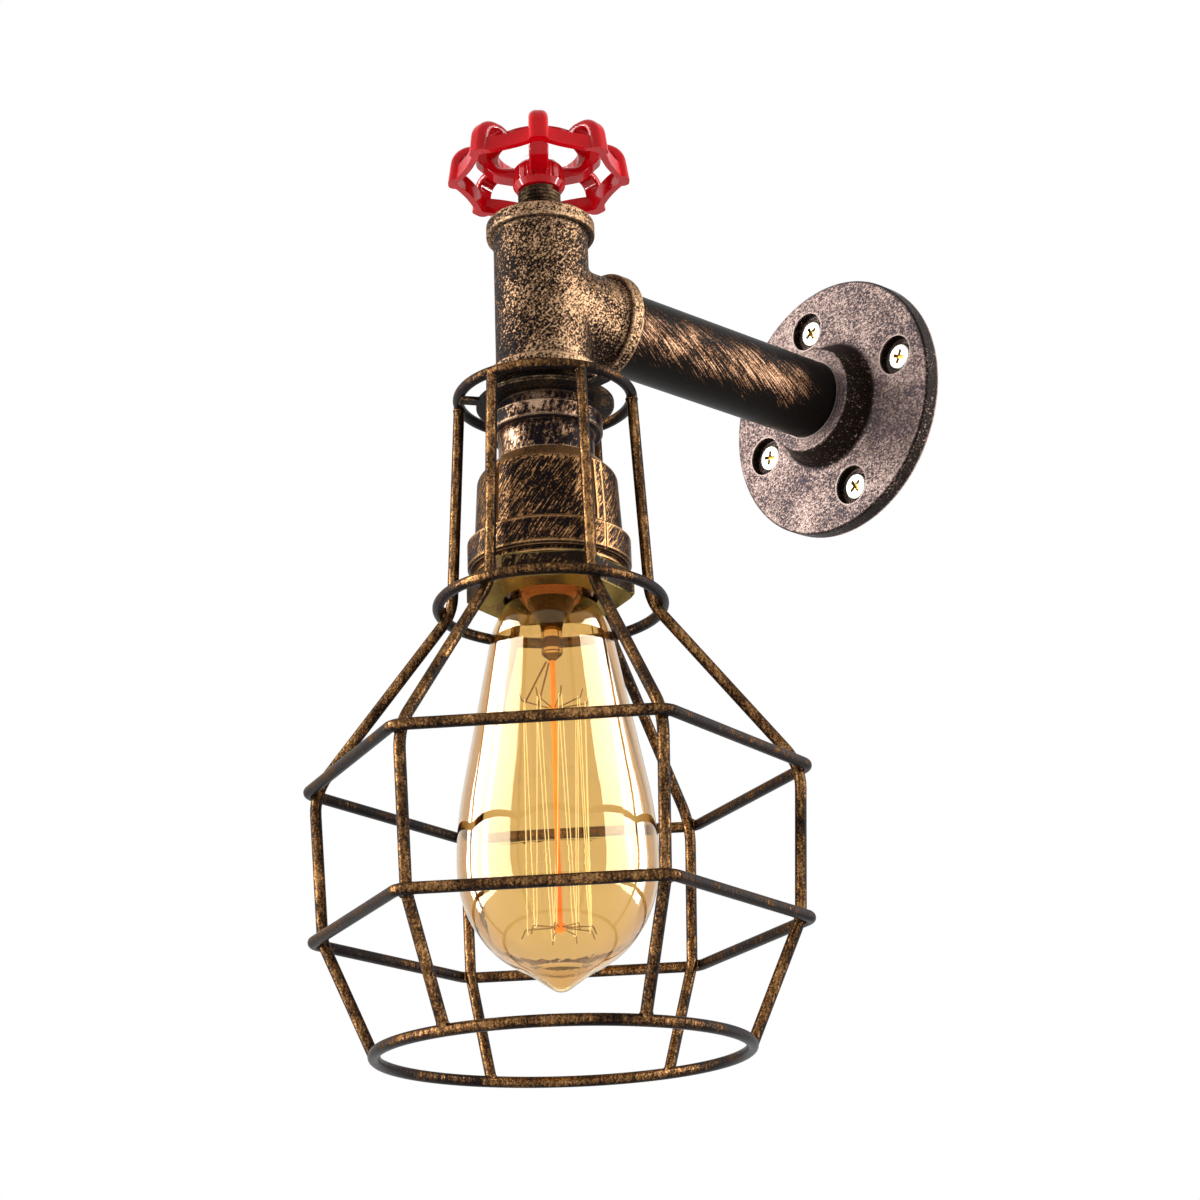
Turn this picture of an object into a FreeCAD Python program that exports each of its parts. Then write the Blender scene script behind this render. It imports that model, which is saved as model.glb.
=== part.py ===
import FreeCAD, Part
import math
import os

os.makedirs("parts", exist_ok=True)
V = FreeCAD.Vector

# Frame: the wall is the XZ plane, the arm points along -Y from it, and +Z is up.
# The origin is the centre of the wall flange's back face. All sizes are in mm.

# Arm, a three-quarter inch steel pipe between the wall flange and the tee
ARM_REACH = 135.0
PIPE_RADIUS = 13.45
PIPE_WALL = 2.6
PIPE_GROOVE_DEPTH = 0.35
PIPE_GROOVE_WIDTH = 0.9
PIPE_GROOVE_FROM_HUB = 2.6

# Fit and seat clearances
THREAD_GAP = 0.05
RUNNING_GAP = 0.05
LOOSE_GAP = 0.1
CONTACT_GAP = 0.3

# Wall flange, a cast floor flange with a hub for the pipe
FLANGE_RADIUS = 45.4
FLANGE_THICKNESS = 6.0
FLANGE_EDGE_ROUND = 1.2
HUB_RADIUS = 18.3
HUB_HEIGHT = 16.0
HUB_FOOT_RADIUS = 22.0
HUB_FOOT_ROUND = 3.0
PIPE_STOP = 3.0
SCREW_CIRCLE_RADIUS = 32.8
SCREW_FIRST_ANGLE = 13.7
SCREW_COUNT = 4
SCREW_RECESS_RADIUS = 6.8
SCREW_RECESS_DEPTH = 4.0
SCREW_HOLE_RADIUS = 2.75

# Wall screws
SCREW_HEAD_RADIUS = 4.8
SCREW_HEAD_HEIGHT = 1.9
SCREW_HEAD_ROUND = 0.9
SCREW_SHANK_RADIUS = 2.0
SCREW_THREAD_RADIUS = 2.4
SCREW_LENGTH_IN_WALL = 12.0
SCREW_POINT_LENGTH = 3.0
CROSS_SLOT_WIDTH = 1.2
CROSS_SLOT_LENGTH = 5.0
CROSS_SLOT_DEPTH = 1.2
CROSS_FIRST_ANGLE = 25.0
CROSS_ANGLE_STEP = 40.0

# Tee
TEE_CENTRE_TO_END = 28.15
TEE_SOCKET_WALL = 1.5
TEE_BODY_RADIUS = PIPE_RADIUS + THREAD_GAP + TEE_SOCKET_WALL
TEE_COLLAR_STEP = 2.25
TEE_COLLAR_FOOT_ROUND = 1.2
TEE_COLLAR_HEIGHT = 4.8
TEE_COLLAR_ROUND = 0.8
TEE_CROTCH_ROUND = 2.4
TEE_BORE_RADIUS = 11.0
TEE_SOCKET_DEPTH = 14.0

# Plug in the tee's top, and the threaded stub that carries the handwheel
STUB_RADIUS = 6.85
STUB_TOP = 40.2
STUB_ENGAGED = 12.0

# Handwheel
WHEEL_POINT_COUNT = 8
WHEEL_FIRST_ANGLE = -39.5
WHEEL_RADIUS = 29.1
WHEEL_SIDE_BOW = 1.3
WHEEL_BAND_BOTTOM = 43.8
WHEEL_BAND_HEIGHT = 5.0
WHEEL_BAND_WALL = 2.3
WHEEL_BAND_INSET = 0.3
WHEEL_LEAN = 1.8
WHEEL_TOP = 56.6
WHEEL_RIB_WIDTH = 6.2
WHEEL_RIB_EDGE = 2.2
WHEEL_RIB_UNDER_EDGE = 0.7
WHEEL_ARCH_THICKNESS = 3.2
WHEEL_ARCH_ROUND = 7.0
WHEEL_RING_INNER = 13.0
WHEEL_RING_OUTER = 16.2
WHEEL_RING_TOP = 55.2
WHEEL_RING_HEIGHT = 3.2
WHEEL_HUB_RADIUS = 8.4
WHEEL_HUB_FOOT_RADIUS = 7.1
WHEEL_HUB_FOOT_HEIGHT = 2.0
WHEEL_HUB_HEIGHT = 8.4
WHEEL_HUB_ROUND = 1.4
WHEEL_FLUTE_COUNT = 18
WHEEL_HUB_FLUTE_RADIUS = 0.75
SPOKE_THICKNESS = 5.2
SPOKE_LEG_RADIUS = 15.0
SPOKE_ROOT_HEIGHT = 4.8

# Screw and washer that hold the handwheel
WHEEL_SCREW_RADIUS = 3.0
WHEEL_SCREW_ENGAGED = 14.0
WHEEL_SCREW_HEAD_RADIUS = 5.2
WHEEL_SCREW_HEAD_HEIGHT = 3.2
WASHER_RADIUS = 6.6
WASHER_THICKNESS = 1.0

# Bushing and hollow nipple under the tee
BUSHING_COLLAR_RADIUS = 12.8
PLATE_TOP = -34.0
NIPPLE_RADIUS = 6.6
NIPPLE_BORE_RADIUS = 5.1
NIPPLE_TOP = -20.0
NIPPLE_BOTTOM = -44.0
NIPPLE_NUT_FLATS = 17.0
NIPPLE_NUT_HEIGHT = 4.0

# Cage
WIRE_RADIUS = 1.7
WELD_BITE = 0.25
CAGE_SIDE_COUNT = 6
CAGE_FIRST_ANGLE = 43.8
TOP_RING_RADIUS = 26.9
TOP_RING_Z = -32.7
NECK_RING_RADIUS = 33.9
NECK_RING_Z = -100.9
HEX_RADIUS = 72.6
HEX_DRAW_IN = 1.6
UPPER_HEX_Z = -154.5
LOWER_HEX_Z = -199.4
BOTTOM_RING_RADIUS = 53.4
BOTTOM_RING_Z = -234.4
HEX_BEND = 6.0
NECK_BEND = 16.0
NECK_BEND_CUT = 0.8
UPPER_BEND = 18.0
UPPER_BEND_CUT = 1.6
LOWER_BEND = 14.0
LOWER_BEND_CUT = 0.5
PLATE_RADIUS = 21.4
PLATE_THICKNESS = 1.2
PLATE_TAB_COUNT = 3
PLATE_TAB_FIRST_ANGLE = 3.0
PLATE_TAB_WIDTH = 4.0

# Lampholder
NECK_OUTER_RADIUS = 14.8
NECK_INNER_RADIUS = 12.2
NECK_TOP_WALL = 3.0
SPIGOT_RADIUS = 13.2
LOCK_RING_RADIUS = 17.6
LOCK_RING_TOP = -39.5
LOCK_RING_HEIGHT = 5.6
LOCK_RING_CHAMFER = 0.6
ROOF_Z = -54.4
HOLDER_WALL = 1.7
SHOULDER_TOP_RADIUS = 15.9
SHOULDER_RADIUS = 21.5
SHOULDER_DROP = 5.6
SHOULDER_ROUND = 4.6
SKIRT_RADIUS = 22.6
BAND_TOP = -80.1
BAND_HEIGHT = 9.3
BAND_RADIUS = 24.85
BAND_CHAMFER = 0.8
BAND_SEAM_WIDTH = 0.5
BAND_SEAM_DEPTH = 0.6
RIB_COUNT = 4
RIB_FIRST_ANGLE = 3.0
RIB_WIDTH = 3.2
RIB_HEIGHT = 0.8
RIB_TOP = -59.6
NUT_TOP = -91.0
NUT_BOTTOM = -98.6
NUT_FLATS = 44.0
NUT_ANGLE = 45.0
NUT_CHAMFER = 1.2
NUT_FLOOR = 3.4
NUT_SPIGOT_HEIGHT = 7.0
NUT_SPIGOT_WALL = 3.2
MOUTH_RADIUS = 14.3

# Lampholder insert
INSERT_TOP = -66.0
INSERT_FLOOR = 5.2
SHELL_INNER_RADIUS = 13.4
SHELL_WALL = 0.5
SHELL_LENGTH = 22.0
CONTACT_WIDTH = 5.0
CONTACT_THICKNESS = 0.6
TERMINAL_OFFSET = 9.0
TERMINAL_SIZE = 4.6
TERMINAL_HEIGHT = 4.2
TERMINAL_SCREW_RADIUS = 1.25
TERMINAL_HEAD_RADIUS = 1.9
TERMINAL_HEAD_HEIGHT = 1.0
EARTH_BLOCK_FROM_AXIS = 12.4
EARTH_BLOCK_DEPTH = 3.4
EARTH_BLOCK_HEIGHT = 5.2

# Wires inside the arm
LEAD_RADIUS = 1.05
LEAD_SPREAD = 3.0
LEAD_RISE = 2.0
EARTH_DROP = 3.0
LEAD_TURN = 10.0
EARTH_TURN = 12.0
LEAD_SMALL_TURN = 6.0
LEAD_FAN_START = -50.0
LEAD_FAN_END = -57.0
TAIL_FROM_WALL = 1.0
STRIPPED_TAIL = 7.0
STRIPPED_TIP = 2.4
CORE_RADIUS = 0.55

# Bulb, a long pear shape on an Edison screw cap
BULB_RADIUS = 29.4
BULB_TIP_Z = -217.2
BELLY_ABOVE_TIP = 37.2
BELLY_Z = BULB_TIP_Z + BELLY_ABOVE_TIP
BELLY_RUN = 12.0
BELLY_CURVE = 120.0
SHOULDER_GLASS_RADIUS = 17.8
SHOULDER_GLASS_Z = -108.0
GLASS_NECK_RADIUS = 12.3
GLASS_TOP = -92.0
GLASS_WALL = 0.9
SEAL_TIP_LENGTH = 4.0
SEAL_TIP_RADIUS = 4.5
SEAL_TIP_SLOPE = 35.0
SEAL_TIP_REACH = 14.0
SEAL_TIP_BLEND = 6.0
GLASS_NECK_TURN = 5.0
GLASS_SHOULDER_TURN = 25.0
GLASS_BELOW_CAP = 1.2
CAP_RADIUS = 13.1
CAP_TOP = -76.0
CAP_RIM = -97.0
CAP_WALL = 0.6
CAP_CROWN_RADIUS = 9.6
CAP_SHOULDER_DROP = 3.4
TIP_CONTACT_RADIUS = 4.4
TIP_CONTACT_HEIGHT = 1.4
CAP_GLASS_HEIGHT = 3.0
STEM_TIP_BELOW_RIM = 21.0
STEM_RADIUS = 3.2
STEM_EDGE_BELOW_RIM = -1.6
STEM_EDGE_HEIGHT = 1.4
STEM_EDGE_ROUND = 0.6
STEM_FLARE_HEIGHT = 10.6
STEM_FLARE_ROUND = 9.0
STEM_TAPER_HEIGHT = 2.0
STEM_TAPER_ROUND = 1.5
ROD_RADIUS = 0.8
UPPER_BUTTON_BELOW_STEM = 15.0
LOWER_BUTTON_ABOVE_TIP = 18.7
BUTTON_RADIUS = 1.7
UPPER_TURN_RISE = 1.5
LOWER_TURN_DROP = 0.5
CAGE_FILAMENT_RADIUS = 9.4
STRAND_COUNT = 18
FILAMENT_RADIUS = 0.13
FILAMENT_TURN = 0.45
FIRST_STRAND_ANGLE = 212.0
HOOK_RADIUS = 0.2
HOOK_PAST_TURN = 0.6
HOOK_END_OUT = 0.9
HOOK_END_RISE = 2.4
HOOK_BEND = 0.5
LEAD_IN_RADIUS = 0.3


def polar(radius, degrees, z=0.0):
    """A point about the lamp's vertical axis."""
    a = math.radians(degrees)
    return V(radius * math.cos(a), radius * math.sin(a) - ARM_REACH, z)


def rounded_edges(points, radii, closed):
    """Straight runs joined by tangent arcs, with one radius for each corner."""
    count = len(points)
    entries, exits, arcs = list(points), list(points), [None] * count
    for i in range(count):
        inner = closed or 0 < i < count - 1
        if not inner or radii[i] <= 0:
            continue
        corner = points[i]
        back = (points[i - 1] - corner).normalize()
        ahead = (points[(i + 1) % count] - corner).normalize()
        half = math.acos(max(-1.0, min(1.0, back.dot(ahead)))) / 2
        reach = radii[i] / math.tan(half)
        middle = (back + ahead).normalize()
        entries[i] = corner + back * reach
        exits[i] = corner + ahead * reach
        centre = corner + middle * (radii[i] / math.sin(half))
        arcs[i] = Part.Arc(entries[i], centre - middle * radii[i], exits[i]).toShape()
    edges = []
    for i in range(count):
        if arcs[i]:
            edges.append(arcs[i])
        if i + 1 < count or closed:
            start, end = exits[i], entries[(i + 1) % count]
            if start.distanceToPoint(end) > 1e-6:
                edges.append(Part.LineSegment(start, end).toShape())
    return edges


def rounded_face(points, radii):
    return Part.Face(Part.Wire(rounded_edges(points, radii, True)))


def lathe_z(profile, y=-ARM_REACH):
    """Turn a closed profile of (radius, z, corner round) about the lamp's axis, or an upright one at y."""
    points = [V(r, y, z) for r, z, _ in profile]
    face = rounded_face(points, [c for _, _, c in profile])
    return face.revolve(V(0, y, 0), V(0, 0, 1), 360)


def lathe_y(profile):
    """Turn a closed profile of (radius, y, corner round) about the arm's axis."""
    points = [V(r, y, 0) for r, y, _ in profile]
    face = rounded_face(points, [c for _, _, c in profile])
    return face.revolve(V(0, 0, 0), V(0, 1, 0), 360)


def upright_cylinder(radius, bottom, top, x=0.0, y=-ARM_REACH):
    return Part.makeCylinder(radius, top - bottom, V(x, y, bottom), V(0, 0, 1))


def tube_along(edges, radius):
    """A round wire swept along straight runs and tangent arcs."""
    path = Part.Wire(edges)
    first = path.Edges[0]
    start = first.valueAt(first.FirstParameter)
    direction = first.tangentAt(first.FirstParameter)
    section = Part.Wire(Part.makeCircle(radius, start, direction))
    return path.makePipeShell([section], True, False)


def hex_prism(flats, bottom, top, corner_angle):
    corner = flats / math.sqrt(3)
    ring = [polar(corner, corner_angle + 60 * i, bottom) for i in range(6)]
    return Part.Face(Part.makePolygon(ring + ring[:1])).extrude(V(0, 0, top - bottom))


def turned(shape, degrees):
    """A copy turned about the lamp's axis."""
    copy = shape.copy()
    copy.rotate(V(0, -ARM_REACH, 0), V(0, 0, 1), degrees)
    return copy


def turned_copies(shape, count, first=0.0):
    return [turned(shape, first + 360.0 / count * i) for i in range(count)]


def torus_ring(radius, z):
    return Part.makeTorus(radius, WIRE_RADIUS, V(0, -ARM_REACH, z), V(0, 0, 1))


def wall_flange():
    """Cast flange with a filleted hub, a stopped bore for the pipe and recessed screw holes."""
    bore = PIPE_RADIUS + THREAD_GAP
    way_through = PIPE_RADIUS - PIPE_WALL
    body = lathe_y([
        (way_through, 0, 0),
        (FLANGE_RADIUS, 0, 0),
        (FLANGE_RADIUS, -FLANGE_THICKNESS, FLANGE_EDGE_ROUND),
        (HUB_FOOT_RADIUS, -FLANGE_THICKNESS, HUB_FOOT_ROUND),
        (HUB_RADIUS, -HUB_HEIGHT, FLANGE_EDGE_ROUND),
        (bore, -HUB_HEIGHT, 0),
        (bore, -PIPE_STOP, 0),
        (way_through, -PIPE_STOP, 0),
    ])
    for x, z in screw_places():
        hole = Part.makeCylinder(SCREW_HOLE_RADIUS, FLANGE_THICKNESS, V(x, 0, z), V(0, -1, 0))
        floor = -FLANGE_THICKNESS + SCREW_RECESS_DEPTH
        recess = Part.makeCylinder(SCREW_RECESS_RADIUS, SCREW_RECESS_DEPTH, V(x, floor, z), V(0, -1, 0))
        body = body.cut(hole).cut(recess)
    return body


def screw_places():
    places = []
    for i in range(SCREW_COUNT):
        a = math.radians(SCREW_FIRST_ANGLE + 360.0 / SCREW_COUNT * i)
        places.append((SCREW_CIRCLE_RADIUS * math.cos(a), SCREW_CIRCLE_RADIUS * math.sin(a)))
    return places


def wall_screws():
    """Pan-head wood screws with a cross recess, threaded from the wall's plane on."""
    seat = -FLANGE_THICKNESS + SCREW_RECESS_DEPTH
    point = SCREW_LENGTH_IN_WALL - SCREW_POINT_LENGTH
    screw = lathe_y([
        (0, seat - SCREW_HEAD_HEIGHT, 0),
        (SCREW_HEAD_RADIUS, seat - SCREW_HEAD_HEIGHT, SCREW_HEAD_ROUND),
        (SCREW_HEAD_RADIUS, seat, 0),
        (SCREW_SHANK_RADIUS, seat, 0),
        (SCREW_SHANK_RADIUS, 0, 0),
        (SCREW_THREAD_RADIUS, 0, 0),
        (SCREW_THREAD_RADIUS, point, 0),
        (0, SCREW_LENGTH_IN_WALL, 0),
    ])
    top = seat - SCREW_HEAD_HEIGHT
    half, width = CROSS_SLOT_LENGTH / 2, CROSS_SLOT_WIDTH / 2
    across = Part.makeBox(2 * half, CROSS_SLOT_DEPTH, 2 * width, V(-half, top, -width))
    upright = Part.makeBox(2 * width, CROSS_SLOT_DEPTH, 2 * half, V(-width, top, -half))
    screw = screw.cut(across.fuse(upright))
    screws = []
    for i, (x, z) in enumerate(screw_places()):
        copy = screw.copy()
        copy.rotate(V(0, 0, 0), V(0, 1, 0), CROSS_FIRST_ANGLE + CROSS_ANGLE_STEP * i)
        copy.translate(V(x, 0, z))
        screws.append(copy)
    return Part.makeCompound(screws)


def arm_pipe():
    """Steel pipe from the flange's stop to the tee's stop, with a fine groove by the hub."""
    outer, inner = PIPE_RADIUS, PIPE_RADIUS - PIPE_WALL
    far = -ARM_REACH + TEE_CENTRE_TO_END - TEE_SOCKET_DEPTH
    groove = -HUB_HEIGHT - PIPE_GROOVE_FROM_HUB
    return lathe_y([
        (inner, -PIPE_STOP, 0),
        (outer, -PIPE_STOP, 0),
        (outer, groove, 0),
        (outer - PIPE_GROOVE_DEPTH, groove - PIPE_GROOVE_WIDTH / 2, 0),
        (outer, groove - PIPE_GROOVE_WIDTH, 0),
        (outer, far, 0),
        (inner, far, 0),
    ])


def tee_leg(length, start):
    """One leg of the tee: a round body that ends in a raised collar, along +Z from the centre."""
    neck = length - TEE_COLLAR_HEIGHT
    collar = TEE_BODY_RADIUS + TEE_COLLAR_STEP
    return lathe_z([
        (0, start, 0),
        (TEE_BODY_RADIUS, start, 0),
        (TEE_BODY_RADIUS, neck, TEE_COLLAR_FOOT_ROUND),
        (collar, neck, TEE_COLLAR_ROUND),
        (collar, length, TEE_COLLAR_ROUND),
        (0, length, 0),
    ], 0)


def tee():
    """Malleable tee: collars on three ends, a socket in each for its pipe, plug or bushing."""
    end, socket = TEE_CENTRE_TO_END, PIPE_RADIUS + THREAD_GAP
    centre = V(0, 0, 0)
    up = tee_leg(end, 0)
    down = up.copy()
    down.rotate(centre, V(1, 0, 0), 180)
    branch = up.copy()
    branch.rotate(centre, V(1, 0, 0), -90)
    body = up.fuse(down).fuse(branch).removeSplitter()
    body = body.makeFillet(TEE_CROTCH_ROUND, [e for e in body.Edges if is_crotch(e)])
    way = Part.makeCylinder(TEE_BORE_RADIUS, 2 * end, V(0, 0, -end), V(0, 0, 1))
    way = way.fuse(Part.makeCylinder(TEE_BORE_RADIUS, end, centre, V(0, 1, 0)))
    for direction in (V(0, 0, 1), V(0, 0, -1), V(0, 1, 0)):
        mouth = direction * (end - TEE_SOCKET_DEPTH)
        way = way.fuse(Part.makeCylinder(socket, TEE_SOCKET_DEPTH, mouth, direction))
    body = body.cut(way)
    body.translate(V(0, -ARM_REACH, 0))
    return body


def is_crotch(edge):
    """True for the saddle line where the branch meets the run."""
    box = edge.BoundBox
    near = max(abs(box.ZMax), abs(box.ZMin)) <= TEE_BODY_RADIUS + 0.01
    off_centre = box.YMax > 0.5 and box.YMin < TEE_BODY_RADIUS + 0.5
    curved = edge.Curve.TypeId not in ("Part::GeomCircle", "Part::GeomLine")
    return near and off_centre and curved


def top_plug():
    """Reducing plug, flush in the tee's top, with a tapped bore for the stub."""
    top = TEE_CENTRE_TO_END
    bottom = TEE_CENTRE_TO_END - TEE_SOCKET_DEPTH
    bore = STUB_RADIUS + THREAD_GAP
    return lathe_z([
        (0, bottom, 0),
        (PIPE_RADIUS, bottom, 0),
        (PIPE_RADIUS, top, 0.6),
        (bore, top, 0),
        (bore, top - STUB_ENGAGED, 0),
        (0, top - STUB_ENGAGED, 0),
    ])


def threaded_stub():
    """Stub of quarter-inch pipe thread between the plug and the handwheel, tapped for the screw."""
    foot = TEE_CENTRE_TO_END - STUB_ENGAGED
    tapped = STUB_TOP - WHEEL_SCREW_ENGAGED
    bore = WHEEL_SCREW_RADIUS + THREAD_GAP
    return lathe_z([
        (0, foot, 0),
        (STUB_RADIUS, foot, 0.5),
        (STUB_RADIUS, STUB_TOP, 0.5),
        (bore, STUB_TOP, 0),
        (bore, tapped, 0),
        (0, tapped, 0),
    ])


def wheel_rib(points, radii):
    """A rib of the wheel: its outline in a radial plane, thickened sideways, long edges rounded."""
    half = WHEEL_RIB_WIDTH / 2
    face = rounded_face([V(r, -half - ARM_REACH, z) for r, z in points], radii)
    rib = face.extrude(V(0, WHEEL_RIB_WIDTH, 0))
    rib = rib.makeFillet(WHEEL_RIB_UNDER_EDGE, foot_edges(rib, WHEEL_RADIUS - WHEEL_ARCH_THICKNESS))
    return rib.makeFillet(WHEEL_RIB_EDGE, foot_edges(rib, WHEEL_RADIUS))


def foot_edges(rib, radius):
    """The two long edges that rise from the band at this radius; a fillet runs on along the rib."""
    found = []
    for edge in rib.Edges:
        box = edge.BoundBox
        at_foot = box.ZMin < WHEEL_BAND_BOTTOM + 0.01 and box.ZLength > 1.0
        if box.YLength < 0.01 and at_foot and abs(box.XMax - radius) < 0.01:
            found.append(edge)
    return found


def wheel_arch_top():
    """Outer points shared by every rib: up the band, over the top and back under it."""
    top, foot = WHEEL_TOP, WHEEL_BAND_BOTTOM
    over = [(WHEEL_RADIUS, foot), (WHEEL_RADIUS - WHEEL_LEAN, top)]
    inner = WHEEL_RADIUS - WHEEL_ARCH_THICKNESS
    under = [(inner - WHEEL_LEAN, top - WHEEL_ARCH_THICKNESS), (inner, foot)]
    return over, under


def arch_rib():
    """Rib that ends on the upper ring."""
    over, under = wheel_arch_top()
    seat = WHEEL_RING_TOP - WHEEL_RING_HEIGHT
    tip = (WHEEL_RING_OUTER + WHEEL_RING_INNER) / 2
    beyond = WHEEL_RING_OUTER + 2.2
    points = over + [(beyond, WHEEL_TOP), (tip, WHEEL_RING_TOP), (tip, seat)]
    points += [(beyond, seat), (beyond + 1.6, WHEEL_TOP - WHEEL_ARCH_THICKNESS)] + under
    radii = [0, WHEEL_ARCH_ROUND, 4.0, 0, 0, 1.0, 0.8]
    radii += [WHEEL_ARCH_ROUND - WHEEL_ARCH_THICKNESS, 0]
    return wheel_rib(points, radii)


def spoke_rib():
    """Rib that passes the upper ring and runs on down into the hub."""
    over, under = wheel_arch_top()
    hub_top = STUB_TOP + WHEEL_HUB_HEIGHT
    root = WHEEL_HUB_RADIUS - 1.5
    leg = SPOKE_LEG_RADIUS
    low = hub_top - SPOKE_ROOT_HEIGHT
    points = over + [(leg, WHEEL_TOP), (leg, hub_top + 2.4), (leg - 2.8, hub_top - 0.2)]
    points += [(root, hub_top - 0.4), (root, low), (leg - 1.0, low + 1.4)]
    points += [(leg + SPOKE_THICKNESS, hub_top + 2.6)]
    points += [(leg + SPOKE_THICKNESS, WHEEL_TOP - WHEEL_ARCH_THICKNESS)] + under
    radii = [0, WHEEL_ARCH_ROUND, 4.0, 2.6, 2.6, 0, 0, 6.0, 3.0, 0.6]
    radii += [WHEEL_ARCH_ROUND - WHEEL_ARCH_THICKNESS, 0]
    return wheel_rib(points, radii)


def scalloped_wire(corner, z):
    """Closed outline with the wheel's points as corners and sides that bow inwards."""
    step = 360.0 / WHEEL_POINT_COUNT
    waist = corner * math.cos(math.radians(step / 2)) - WHEEL_SIDE_BOW
    edges = []
    for i in range(WHEEL_POINT_COUNT):
        middle = polar(waist, (i + 0.5) * step, z)
        edges.append(Part.Arc(polar(corner, i * step, z), middle, polar(corner, (i + 1) * step, z)).toShape())
    return Part.Wire(edges)


def scalloped_band():
    """The rim: a thin wall on the scalloped outline that leans in towards its top."""
    lean = WHEEL_LEAN * WHEEL_BAND_HEIGHT / (WHEEL_TOP - WHEEL_BAND_BOTTOM)
    blanks = []
    for inset in (WHEEL_BAND_INSET, WHEEL_BAND_INSET + WHEEL_BAND_WALL):
        low = scalloped_wire(WHEEL_RADIUS - inset, WHEEL_BAND_BOTTOM)
        high = scalloped_wire(WHEEL_RADIUS - inset - lean, WHEEL_BAND_BOTTOM + WHEEL_BAND_HEIGHT)
        blanks.append(Part.makeLoft([low, high], True, True))
    return blanks[0].cut(blanks[1])


def handwheel():
    """Cast handwheel: a low scalloped band, a high ring, arched ribs, and four dished spokes."""
    ring_bottom = WHEEL_RING_TOP - WHEEL_RING_HEIGHT
    ring = upright_cylinder(WHEEL_RING_OUTER, ring_bottom, WHEEL_RING_TOP)
    ring = ring.cut(upright_cylinder(WHEEL_RING_INNER, ring_bottom, WHEEL_RING_TOP))
    step = 360.0 / WHEEL_POINT_COUNT
    spoke, arch = spoke_rib(), arch_rib()
    ribs = [turned(spoke if i % 2 == 0 else arch, step * i) for i in range(WHEEL_POINT_COUNT)]
    wheel = scalloped_band().multiFuse([ring, wheel_hub()] + ribs)
    wheel = wheel.cut(upright_cylinder(wheel_bore(), STUB_TOP - 1, WHEEL_TOP))
    return turned(wheel, WHEEL_FIRST_ANGLE)


def wheel_bore():
    return WHEEL_SCREW_RADIUS + RUNNING_GAP


def wheel_hub():
    """Hub with upright flutes, a foot that narrows to the stub and a rounded top."""
    top = STUB_TOP + WHEEL_HUB_HEIGHT
    foot = STUB_TOP + RUNNING_GAP
    hub = lathe_z([
        (0, foot, 0),
        (WHEEL_HUB_FOOT_RADIUS, foot, 0.4),
        (WHEEL_HUB_RADIUS, foot + WHEEL_HUB_FOOT_HEIGHT, 1.0),
        (WHEEL_HUB_RADIUS - 0.3, top, WHEEL_HUB_ROUND),
        (0, top, 0),
    ])
    flute_foot = foot + WHEEL_HUB_FOOT_HEIGHT
    flute = upright_cylinder(WHEEL_HUB_FLUTE_RADIUS, flute_foot, top + 1, WHEEL_HUB_RADIUS + 0.2)
    flutes = turned_copies(flute, WHEEL_FLUTE_COUNT, 180.0 / WHEEL_FLUTE_COUNT)
    return hub.cut(flutes[0].multiFuse(flutes[1:]))


def wheel_washer():
    bottom = STUB_TOP + WHEEL_HUB_HEIGHT + RUNNING_GAP
    bore = WHEEL_SCREW_RADIUS + LOOSE_GAP
    return lathe_z([
        (bore, bottom, 0),
        (WASHER_RADIUS, bottom, 0),
        (WASHER_RADIUS, bottom + WASHER_THICKNESS, 0.3),
        (bore, bottom + WASHER_THICKNESS, 0),
    ])


def wheel_screw():
    """Round-head screw through the hub into the stub."""
    seat = STUB_TOP + WHEEL_HUB_HEIGHT + RUNNING_GAP + WASHER_THICKNESS
    top = seat + WHEEL_SCREW_HEAD_HEIGHT
    screw = lathe_z([
        (0, STUB_TOP - WHEEL_SCREW_ENGAGED + 1.0, 0),
        (WHEEL_SCREW_RADIUS, STUB_TOP - WHEEL_SCREW_ENGAGED + 1.0, 0.6),
        (WHEEL_SCREW_RADIUS, seat, 0),
        (WHEEL_SCREW_HEAD_RADIUS, seat, 0),
        (WHEEL_SCREW_HEAD_RADIUS, top, 2.0),
        (0, top, 0),
    ])
    half, width = CROSS_SLOT_LENGTH / 2, CROSS_SLOT_WIDTH / 2
    slot = Part.makeBox(2 * half, 2 * width, 2 * CROSS_SLOT_DEPTH)
    slot.translate(V(-half, -width - ARM_REACH, top - CROSS_SLOT_DEPTH))
    return screw.cut(slot.fuse(turned(slot, 90)))


def bottom_bushing():
    """Bushing in the tee's foot whose collar bears on the cage plate, bored for the nipple."""
    top = -TEE_CENTRE_TO_END + TEE_SOCKET_DEPTH
    bore = NIPPLE_RADIUS + THREAD_GAP
    return lathe_z([
        (bore, PLATE_TOP, 0),
        (BUSHING_COLLAR_RADIUS, PLATE_TOP, 0.8),
        (BUSHING_COLLAR_RADIUS, -TEE_CENTRE_TO_END, 0),
        (PIPE_RADIUS, -TEE_CENTRE_TO_END, 0),
        (PIPE_RADIUS, top, 0),
        (bore, top, 0),
    ])


def lower_nipple():
    """Hollow threaded nipple that clamps the cage plate and the lampholder to the tee."""
    return lathe_z([
        (NIPPLE_BORE_RADIUS, NIPPLE_BOTTOM, 0),
        (NIPPLE_RADIUS, NIPPLE_BOTTOM, 0.4),
        (NIPPLE_RADIUS, NIPPLE_TOP, 0.4),
        (NIPPLE_BORE_RADIUS, NIPPLE_TOP, 0),
    ])


def nipple_nut():
    top = PLATE_TOP - PLATE_THICKNESS - NECK_TOP_WALL
    nut = hex_prism(NIPPLE_NUT_FLATS, top - NIPPLE_NUT_HEIGHT, top, 0)
    return nut.cut(upright_cylinder(NIPPLE_RADIUS + THREAD_GAP, top - NIPPLE_NUT_HEIGHT, top))


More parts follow.
